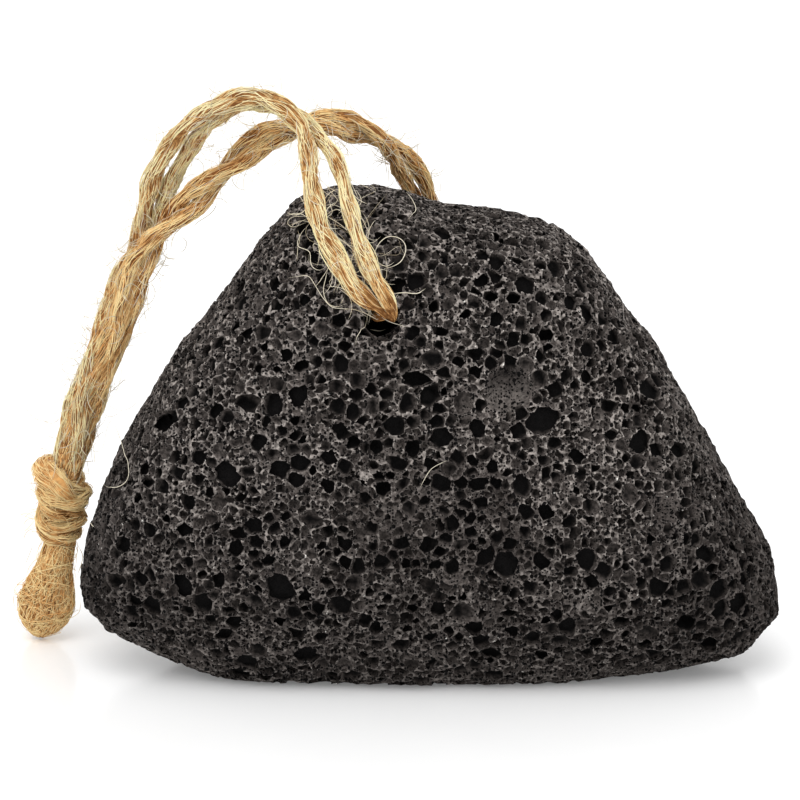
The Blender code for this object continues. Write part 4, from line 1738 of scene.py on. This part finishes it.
@dataclass
class Tail:
    """The folded ends below the knot, teased out into a fuzzy bulb. Plain lengths are millimetres."""

    node: str = "tail"
    seed: int = 41
    top: Vector = field(default_factory=lambda: Vector((-53.6, 10.0, 13.8)))
    tip: Vector = field(default_factory=lambda: Vector((-56.8, 11.2, 0.45)))
    # Half-widths at shares of the way down.
    shape: tuple[Span, ...] = (
        (-0.25, 2.1), (0.0, 2.25), (0.22, 2.6), (0.45, 3.6),
        (0.62, 4.1), (0.79, 3.6), (0.92, 2.4), (1.0, 0.9),
    )
    depth: float = 0.82  # of the half-width
    core_share: float = 0.86
    core_shade: float = 0.12
    core_points: int = 16
    core_ends: Span = (-0.2, 0.97)  # shares of the way down
    fibres: int = 420
    fibre_points: int = 22
    fibre_radius: Span = (0.045 * MM, 0.10 * MM)
    fibre_tints: tuple[float, float, float] = (0.60, 0.26, 0.28)  # mean, from one to another, along one
    fibre_uneven: float = 0.25
    fibre_ends: Span = (-0.22, 0.995)  # shares of the way down
    fibre_stray: float = 0.02  # how far its points stray from even places
    wander: float = 0.55  # radians by which a fibre swings
    twist: float = 0.6  # radians by which it turns on its way down
    untwisted: float = 0.4  # share of the way down from which that is counted
    depths: Span = (0.93, 0.10)  # how far out a fibre lies, and how much that varies
    deeper: float = 0.10  # the most that a whole fibre lies deeper
    curls: tuple[CurlKind, ...] = (
        CurlKind(70, 34, (0.99, 1.05), (150, 650), (0.045 * MM, 0.085 * MM), 0.84),
        CurlKind(60, 20, (0.99, 1.05), (700, 1500), (0.04 * MM, 0.075 * MM), 0.88),
        CurlKind(70, 20, (1.0, 1.25), (250, 900), (0.024 * MM, 0.045 * MM), 0.9),
    )
    curl_stride: float = 0.5 * MM
    curl_starts: Span = (0.05, 0.98)
    curl_top: float = -0.1  # share of the way down above which none goes
    off_floor: float = 0.02 * MM
    axis: np.ndarray = field(init=False)  # from its top to its tip
    length: float = field(init=False)
    down: np.ndarray = field(init=False)
    right: np.ndarray = field(init=False)
    rear: np.ndarray = field(init=False)

    def __post_init__(self) -> None:
        """Works out the tail's own axes."""
        self.axis = np.array(self.tip - self.top)
        self.length = float(np.linalg.norm(self.axis))
        self.down = self.axis / self.length
        self.right = unit(np.cross(self.down, (0.0, 1.0, 0.0)))
        self.rear = np.cross(self.down, self.right)

    def build(self) -> bpy.types.Object:
        """Lays the folded ends.

        Returns:
            Their piece.
        """
        draw = np.random.default_rng(self.seed)
        batches = [self.core(), self.folds(draw)]
        for kind in self.curls:
            batches.append(hair_batch(draw, self.swirls(draw, kind), kind.radius, kind.pale))
        for batch in batches:
            lowest = batch.radii.max() + self.off_floor
            batch.lines[..., 2] = np.maximum(batch.lines[..., 2], lowest)
        piece = fibre_mesh("folded_tail", batches)
        dress(piece, BROWN_JUTE.material(), self.node)
        return piece

    def reach(self, share: np.ndarray) -> np.ndarray:
        """Gives the half-width at shares of the way down."""
        return np.interp(share, *np.array(self.shape).T)

    def at(self, share: np.ndarray, angle: np.ndarray, out: np.ndarray) -> np.ndarray:
        """Finds points of the bulb.

        Args:
            share: of the way down.
            angle: round the bulb.
            out: how far out, as shares of the half-width.

        Returns:
            The points, in metres.
        """
        reach = self.reach(share) * out
        across = (reach * np.cos(angle))[..., None] * self.right
        deep = (reach * self.depth * np.sin(angle))[..., None] * self.rear
        return (np.array(self.top) + share[..., None] * self.axis + across + deep) * MM

    def core(self) -> FibreBatch:
        """Fills the inside of the bulb; its dark tint is painted shade between the fibres.

        Returns:
            The filling, as one thick fibre.
        """
        share = np.linspace(*self.core_ends, self.core_points)
        radii = self.core_share * self.depth * self.reach(share)[None] * MM
        line = self.at(share, np.zeros_like(share), np.zeros_like(share))
        return FibreBatch(line[None], radii, np.full(radii.shape, self.core_shade), CORE_SIDES)

    def folds(self, draw: np.random.Generator) -> FibreBatch:
        """Lays the fibres that run down the bulb.

        Args:
            draw: the random numbers.

        Returns:
            The fibres.
        """
        count, points = self.fibres, self.fibre_points

        def noise(waves: int) -> np.ndarray:
            """Draws one slow curve for each fibre, with so many waves."""
            return smooth_noise(draw, count, points, waves)

        share = np.linspace(*self.fibre_ends, points)[None] + self.fibre_stray * noise(5)
        first = draw.uniform(0, math.tau, count)[:, None]
        angle = first + self.wander * noise(4) + self.twist * (share - self.untwisted)
        out = self.depths[0] + self.depths[1] * noise(6) - self.deeper * draw.random((count, 1)) ** 2
        lines = self.at(share, angle, out)
        mean, spread_between, spread_along = self.fibre_tints
        tints = draw.normal(mean, spread_between, (count, 1)) + spread_along * noise(5)
        radii = draw.uniform(*self.fibre_radius, (count, 1)) * (1.0 + self.fibre_uneven * noise(9))
        return FibreBatch(lines, radii, tints)

    def swirls(self, draw: np.random.Generator, kind: CurlKind) -> np.ndarray:
        """Lets fibres curl over the bulb.

        Args:
            draw: the random numbers.
            kind: how many there are and how they curl.

        Returns:
            Their lines.
        """
        share = draw.uniform(*self.curl_starts, kind.count)
        angle = draw.uniform(0, math.tau, kind.count)
        starts = self.at(share, angle, np.full(kind.count, kind.shell[0]))

        def keep(places: np.ndarray) -> np.ndarray:
            """Moves points into the shell.

            Args:
                places: the points, one row each.

            Returns:
                The points where they may be.
            """
            local = places / MM - np.array(self.top)
            share = np.clip(local @ self.down / self.length, self.curl_top, 1.0)
            across = local @ self.right
            deep = local @ self.rear / self.depth
            out = np.hypot(across, deep) / self.reach(share)
            return self.at(share, np.arctan2(deep, across), np.clip(out, *kind.shell))

        ahead = unit(draw.normal(size=starts.shape))
        return wandering_lines(draw, starts, ahead, kind.steps, self.curl_stride, kind.tightness, keep)


@dataclass
class BundleFibres:
    """Fibres that lie along the bundle of four strands and fill the furrows between them."""

    seed: int = 51
    count: int = 260
    # Half-width of the bundle at even places from its top down, in millimetres.
    girth: tuple[float, ...] = (1.7, 2.0, 2.45, 2.5, 2.2, 2.1, 2.2, 1.9)
    twist: float = math.radians(150)
    step: float = 0.9 * MM
    end_share: float = 0.45  # how far the fibres run on from the strands' end to the knot's middle
    radius: Span = (0.04 * MM, 0.085 * MM)
    tints: tuple[float, float, float] = (0.60, 0.30, 0.14)  # mean, from one to another, along one
    wander: float = 0.5  # radians by which a fibre swings
    depths: Span = (0.94, 0.10)  # how far out a fibre lies, and how much that varies
    core_share: float = 0.8
    core_shade: float = 0.1
    core_sides: int = 14

    def build(self) -> bpy.types.Object:
        """Lays the fibres.

        Returns:
            Their piece.
        """
        draw = np.random.default_rng(self.seed)
        end = self.end_share * KNOT_MIDDLE + (1.0 - self.end_share) * BUNDLE_END
        track = Track(evenly_spaced(curve_through([*BUNDLE_ROUTE, end]), self.step))
        points = len(track.line)

        def noise(waves: int) -> np.ndarray:
            """Draws one slow curve for each fibre, with so many waves."""
            return smooth_noise(draw, self.count, points, waves)

        share = np.linspace(0.0, 1.0, points)
        angle = draw.uniform(0, math.tau, (self.count, 1)) + self.twist * share
        angle = angle + self.wander * noise(5)
        widths = np.array(self.girth) * MM
        girth = np.interp(share, np.linspace(0.0, 1.0, len(widths)), widths)
        away = girth * (self.depths[0] + self.depths[1] * noise(7))
        mean, spread_between, spread_along = self.tints
        tints = draw.normal(mean, spread_between, (self.count, 1)) + spread_along * noise(7)
        radii = draw.uniform(*self.radius, (self.count, 1)) * np.ones((1, points))
        # the core's dark tint is painted shade in the furrows between the fibres
        filling = np.full((1, points), self.core_shade)
        core = FibreBatch(track.line[None], self.core_share * girth[None], filling, self.core_sides)
        fibres = FibreBatch(track.line + track.outward(angle) * away[..., None], radii, tints)
        piece = fibre_mesh("bundle_fibres", [core, fibres])
        dress(piece, BROWN_JUTE.material())
        return piece


# Curls that lie on the stone or hang beside the twine, point by point, in millimetres.
CURLS = [
    [(-16.8, -7.4, 67.7), (-17.8, -6.4, 67.7), (-19.3, -4.8, 67.1), (-19.8, -5.0, 66.4),
     (-19.1, -7.0, 66.3), (-17.8, -8.2, 67.0), (-16.9, -8.1, 67.4)],
    [(-16.8, -8.8, 67.1), (-17.9, -9.5, 65.9), (-18.3, -10.5, 64.5), (-16.7, -12.0, 64.1),
     (-16.5, -12.8, 62.9), (-16.2, -13.4, 62.2), (-15.3, -14.0, 61.9), (-14.3, -14.0, 62.4)],
    [(-19.6, -12.5, 60.4), (-18.2, -13.1, 60.8), (-16.8, -13.8, 61.0), (-15.9, -14.6, 60.0),
     (-14.8, -15.8, 58.5), (-13.5, -16.5, 57.3), (-11.8, -16.9, 57.2), (-10.1, -17.1, 57.1)],
    [(-13.8, -13.9, 62.6), (-15.0, -14.7, 60.8), (-15.8, -14.8, 59.8)],
    [(-14.0, -14.0, 62.4), (-14.4, -14.8, 60.9), (-14.7, -15.5, 59.3), (-14.1, -16.2, 57.8),
     (-12.9, -16.7, 57.4), (-11.6, -16.7, 57.8)],
    [(-7.9, -14.4, 63.4), (-7.5, -13.5, 64.6), (-6.8, -12.6, 65.6), (-5.6, -11.9, 66.2),
     (-4.0, -11.9, 65.8), (-3.3, -12.8, 64.8), (-3.8, -14.0, 63.4), (-4.9, -14.6, 62.7),
     (-6.3, -15.0, 62.4)],
    [(-6.4, -13.2, 64.8), (-6.0, -14.3, 63.3), (-5.9, -15.1, 62.1), (-6.4, -14.9, 60.3),
     (-6.1, -16.7, 59.0), (-5.4, -1.1, 53.4)],
    [(-5.2, -16.5, 59.2), (-3.5, -16.3, 59.3), (-1.7, -16.3, 59.2), (-0.6, -15.9, 59.8)],
    [(-9.7, -17.3, 56.8), (-8.7, -15.6, 55.3), (-9.5, -18.0, 54.4), (-10.1, -18.3, 53.4),
     (-10.2, -18.5, 52.4)],
    [(-11.8, -16.3, 58.7), (-12.3, -16.6, 57.8), (-12.0, -16.6, 58.0)],
    [(-9.4, -8.6, 68.9), (-8.7, -9.8, 68.1), (-8.4, -11.2, 67.1), (-8.9, -12.3, 66.2),
     (-8.6, -12.8, 65.6), (-7.7, -12.7, 65.6), (-6.8, -12.0, 66.2)],
    [(-10.3, -1.5, 70.3), (-9.6, -5.0, 70.0), (-9.6, -6.7, 69.5), (-10.4, -7.6, 69.2)],
    [(-7.9, -14.4, 63.4), (-7.0, -14.9, 62.6), (-6.5, -14.9, 60.6), (-6.3, -16.9, 58.5),
     (-5.8, -5.5, 53.2)],
    [(-5.1, -2.0, 53.1), (-4.6, -3.8, 52.9), (-3.8, -17.7, 55.8)],
    [(-14.1, -3.4, 69.7), (-13.6, -7.0, 68.4), (-14.3, -9.0, 67.9), (-13.5, -10.7, 66.8),
     (-12.4, -12.3, 65.7), (-12.1, -13.1, 64.7)],
    [(-13.5, -11.2, 66.4), (-11.9, -12.5, 65.6), (-10.8, -13.3, 64.8), (-10.0, -13.9, 64.1),
     (-8.8, -14.2, 63.8)],
    [(-8.2, -15.4, 53.8), (-6.9, -13.6, 53.1), (-5.8, -11.6, 52.9)],
    [(-45.5, -2.0, 39.0), (-44.8, -2.0, 36.8), (-44.2, -2.0, 35.2), (-43.7, -2.0, 33.7),
     (-43.3, -2.9, 32.7), (-42.5, -7.2, 32.2), (-42.3, -9.0, 31.0), (-42.8, -9.1, 29.7),
     (-44.1, -7.7, 28.6), (-45.6, -4.0, 27.5), (-46.0, -4.0, 27.8), (-46.4, -4.0, 28.3)],
    [(-1.3, -20.4, 32.4), (-0.6, -20.3, 33.8), (0.3, -20.2, 35.1), (1.9, -20.1, 36.0),
     (2.4, -20.1, 36.2)],
    [(-18.3, -8.6, 66.2), (-18.0, -9.8, 65.4), (-18.3, -10.8, 64.2), (-18.4, -11.9, 62.7)],
    [(-3.2, 1.6, 69.2), (-2.4, -2.4, 69.1), (-1.9, -6.2, 68.5), (-3.0, -7.3, 67.5)],
    [(-49.1, -2.0, 21.7), (-48.0, -2.0, 21.4), (-47.6, -4.7, 21.8)],
    [(-36.9, 0.0, 60.8), (-37.4, 0.0, 59.4), (-38.2, 0.0, 58.0), (-39.0, 0.0, 56.8),
     (-39.8, 0.0, 56.4), (-40.4, 0.0, 56.7)],
    [(-41.4, 0.0, 54.5), (-40.6, 0.0, 53.3), (-39.4, 0.0, 53.5), (-38.7, 0.0, 54.8),
     (-39.1, 0.0, 56.2), (-40.0, 0.0, 56.4)],
    [(-34.9, 0.0, 63.2), (-34.2, 0.0, 62.4), (-34.4, 0.0, 61.3), (-35.1, 0.0, 60.8)],
    [(-29.7, 0.0, 68.4), (-30.3, 0.0, 67.0), (-31.4, 0.0, 66.0), (-32.5, 0.0, 65.3), (-33.4, 0.0, 64.4)],
    [(-42.5, 0.0, 69.6), (-42.1, 0.0, 68.3), (-41.7, 0.0, 67.3)],
    [(-48.3, 4.0, 32.4), (-47.9, 4.0, 30.6), (-47.8, 4.0, 28.2)],
    [(-40.2, 0.0, 59.7), (-39.4, 0.0, 58.6), (-38.5, 0.0, 57.6)],
    [(-57.3, 10.0, 14.5), (-57.7, 10.0, 13.4), (-58.2, 10.0, 12.2), (-58.5, 10.0, 11.3)],
    [(-50.8, 10.0, 14.5), (-50.1, 10.0, 12.8), (-50.5, 10.0, 11.0), (-51.0, 10.0, 9.8)],
    [(-49.6, 10.0, 14.0), (-49.9, 10.0, 12.2), (-50.1, 10.0, 10.4)],
]


@dataclass(frozen=True)
class StrayKind:
    """One kind of stray hair: how many, how long, how curly, how thick and how pale they are."""

    count: int
    steps: int
    tightness: Span  # radians per metre
    splay: float  # how much they start outwards rather than along the strand
    radius: Span
    pale: float


@dataclass
class LooseHairs:
    """Stray fibres round the twine, and the curls that lie on the stone beside it."""

    lays: dict[Strand, TwineLay]
    kinds: tuple[StrayKind, ...] = (
        StrayKind(1150, 9, (150, 800), 0.12, (0.030 * MM, 0.054 * MM), 0.85),
        StrayKind(150, 16, (250, 900), 0.45, (0.020 * MM, 0.034 * MM), 0.55),
        StrayKind(36, 26, (200, 650), 0.50, (0.018 * MM, 0.030 * MM), 0.40),
    )
    seed: int = 77
    stride: float = 0.5 * MM
    offset_share: float = 0.75  # hairs start at a ply's radius plus this share of its offset
    first_point: int = 38  # fine points that a strand has inside the hole, where no hair starts
    clear: float = 0.5 * MM  # distance that is kept from the stone's solid
    searched: float = 8 * MM  # distance beyond which a point can't be inside the stone
    curl_radius: Span = (0.05 * MM, 0.07 * MM)
    solid: BVHTree = field(default_factory=lambda: faces_of("stone"))

    def build(self) -> bpy.types.Object:
        """Draws the hairs.

        Returns:
            Their piece.
        """
        draw = np.random.default_rng(self.seed)
        batches = self.stray_batches(draw)
        for curl in CURLS:
            line = self.keep_off(evenly_spaced(curve_through(np.array(curl) * MM), self.stride))
            batches.append(hair_batch(draw, line[None], self.curl_radius, 1.0))
        piece = fibre_mesh("loose_hairs", batches)
        dress(piece, HAIR_JUTE.material())
        return piece

    def stray_batches(self, draw: np.random.Generator) -> list[FibreBatch]:
        """Frees fibres from all along the four strands: mostly short frizz, and some long ones.

        Args:
            draw: the random numbers.

        Returns:
            A batch for each kind.
        """
        batches = []
        for kind in self.kinds:
            starts, ahead = [], []
            for strand, lay in self.lays.items():
                reach = lay.ply_radius + self.offset_share * lay.ply_offset
                line = evenly_spaced(strand.drawn_line(), self.stride)[self.first_point :]
                along = unit(np.gradient(line, axis=0))
                picks = draw.integers(0, len(line), kind.count // len(self.lays))
                out = unit(np.cross(along[picks], draw.normal(size=(len(picks), 3))))
                starts.append(line[picks] + out * reach)
                ways = draw.choice([-1.0, 1.0], (len(picks), 1))
                ahead.append(unit(along[picks] * ways + kind.splay * out))
            lines = wandering_lines(
                draw, np.concatenate(starts), np.concatenate(ahead), kind.steps, self.stride,
                kind.tightness, self.keep_off,
            )
            batches.append(hair_batch(draw, lines, kind.radius, kind.pale))
        return batches

    def keep_off(self, places: np.ndarray) -> np.ndarray:
        """Moves points out of the stone, to the distance that is kept from it.

        Args:
            places: the points, one row each.

        Returns:
            The points where they may be.
        """
        kept = places.copy()
        for row, place in enumerate(places):
            near, normal, _, _ = self.solid.find_nearest(place)
            away = Vector(place) - near
            if away.dot(normal) < self.clear and away.length < self.searched:
                kept[row] = near + normal * self.clear
        return kept


# ---- The studio ----


@dataclass(frozen=True)
class Lamp:
    """A broad, distant light."""

    name: str
    toward: tuple[float, float, float]  # the direction in which it hangs, seen from the stone
    spread: float  # how wide it looks from the stone, in degrees
    power: float  # watts per square metre

    def build(self) -> None:
        """Hangs the light."""
        lamp = bpy.data.lights.new(self.name, "SUN")
        lamp.angle = math.radians(self.spread)
        lamp.energy = self.power
        made = bpy.data.objects.new(self.name, lamp)
        made.rotation_euler = (-Vector(self.toward)).to_track_quat("-Z", "Y").to_euler()
        bpy.context.scene.collection.objects.link(made)


@dataclass
class Studio:
    """A white sheet, soft lights and the camera."""

    lamps: tuple[Lamp, ...] = (
        Lamp("key", (-0.30, -0.80, 1.25), 45.0, 1.25),
        Lamp("fill", (0.9, -0.6, 0.8), 60.0, 0.25),
    )
    sky_light: float = 0.86
    sheet_half: float = 6.0
    sheet_drop: float = 0.0001  # how far the sheet lies below the stone's foot
    aim: Vector = field(default_factory=lambda: Vector((-4.1, 0.0, 39.2)) * MM)
    distance: float = 800 * MM
    drop: float = math.radians(16.0)  # how far the camera looks down
    lens: float = 253.5
    sensor: float = 36.0
    sight: Span = (0.01, 50.0)  # the nearest and the farthest that the camera sees

    def build(self) -> None:
        """Sets up the sheet, the lights and the camera."""
        self.sheet()
        self.sky()
        for lamp in self.lamps:
            lamp.build()
        self.camera()

    def sheet(self) -> None:
        """Lays the white sheet under the stone."""
        half = self.sheet_half
        corners = np.array([(-half, -half, 0), (half, -half, 0), (half, half, 0), (-half, half, 0)])
        made = mesh_from("white_sheet", corners - (0, 0, self.sheet_drop), [np.array([[0, 1, 2, 3]])])
        made.data.materials.append(BackdropFinish().material())

    def sky(self) -> None:
        """Fills the room with even white light."""
        world = bpy.data.worlds.new("studio")
        world.use_nodes = True
        shade = world.node_tree.nodes["Background"]
        shade.inputs["Color"].default_value = (1.0, 1.0, 1.0, 1.0)
        shade.inputs["Strength"].default_value = self.sky_light
        bpy.context.scene.world = world

    def camera(self) -> None:
        """Sets up the camera, level with the front of the stone and a little above it."""
        lens = bpy.data.cameras.new("camera")
        lens.lens = self.lens
        lens.sensor_width = self.sensor
        lens.clip_start, lens.clip_end = self.sight
        made = bpy.data.objects.new("camera", lens)
        away = Vector((0.0, -math.cos(self.drop), math.sin(self.drop)))
        made.location = self.aim + away * self.distance
        made.rotation_euler = (-away).to_track_quat("-Z", "Y").to_euler()
        bpy.context.scene.collection.objects.link(made)
        bpy.context.scene.camera = made
        bpy.context.scene.view_settings.view_transform = "Standard"


def main() -> None:
    """Builds the pieces in order and reports each of them."""
    logging.basicConfig(level=logging.INFO, format="%(name)s: %(message)s")
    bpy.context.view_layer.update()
    Studio().build()
    loop = HangingLoop()
    strands = loop.build()
    stone = PumiceStone().build()
    knot = Knot().build()
    tail = Tail().build()
    bundle = BundleFibres().build()
    hairs = LooseHairs(loop.lays).build()
    loop.declare(strands)
    for piece in [stone, knot, tail, bundle, hairs, *strands.values()]:
        log.info("%s has %d faces", piece.name, len(piece.data.polygons))


if __name__ == "__main__":
    main()
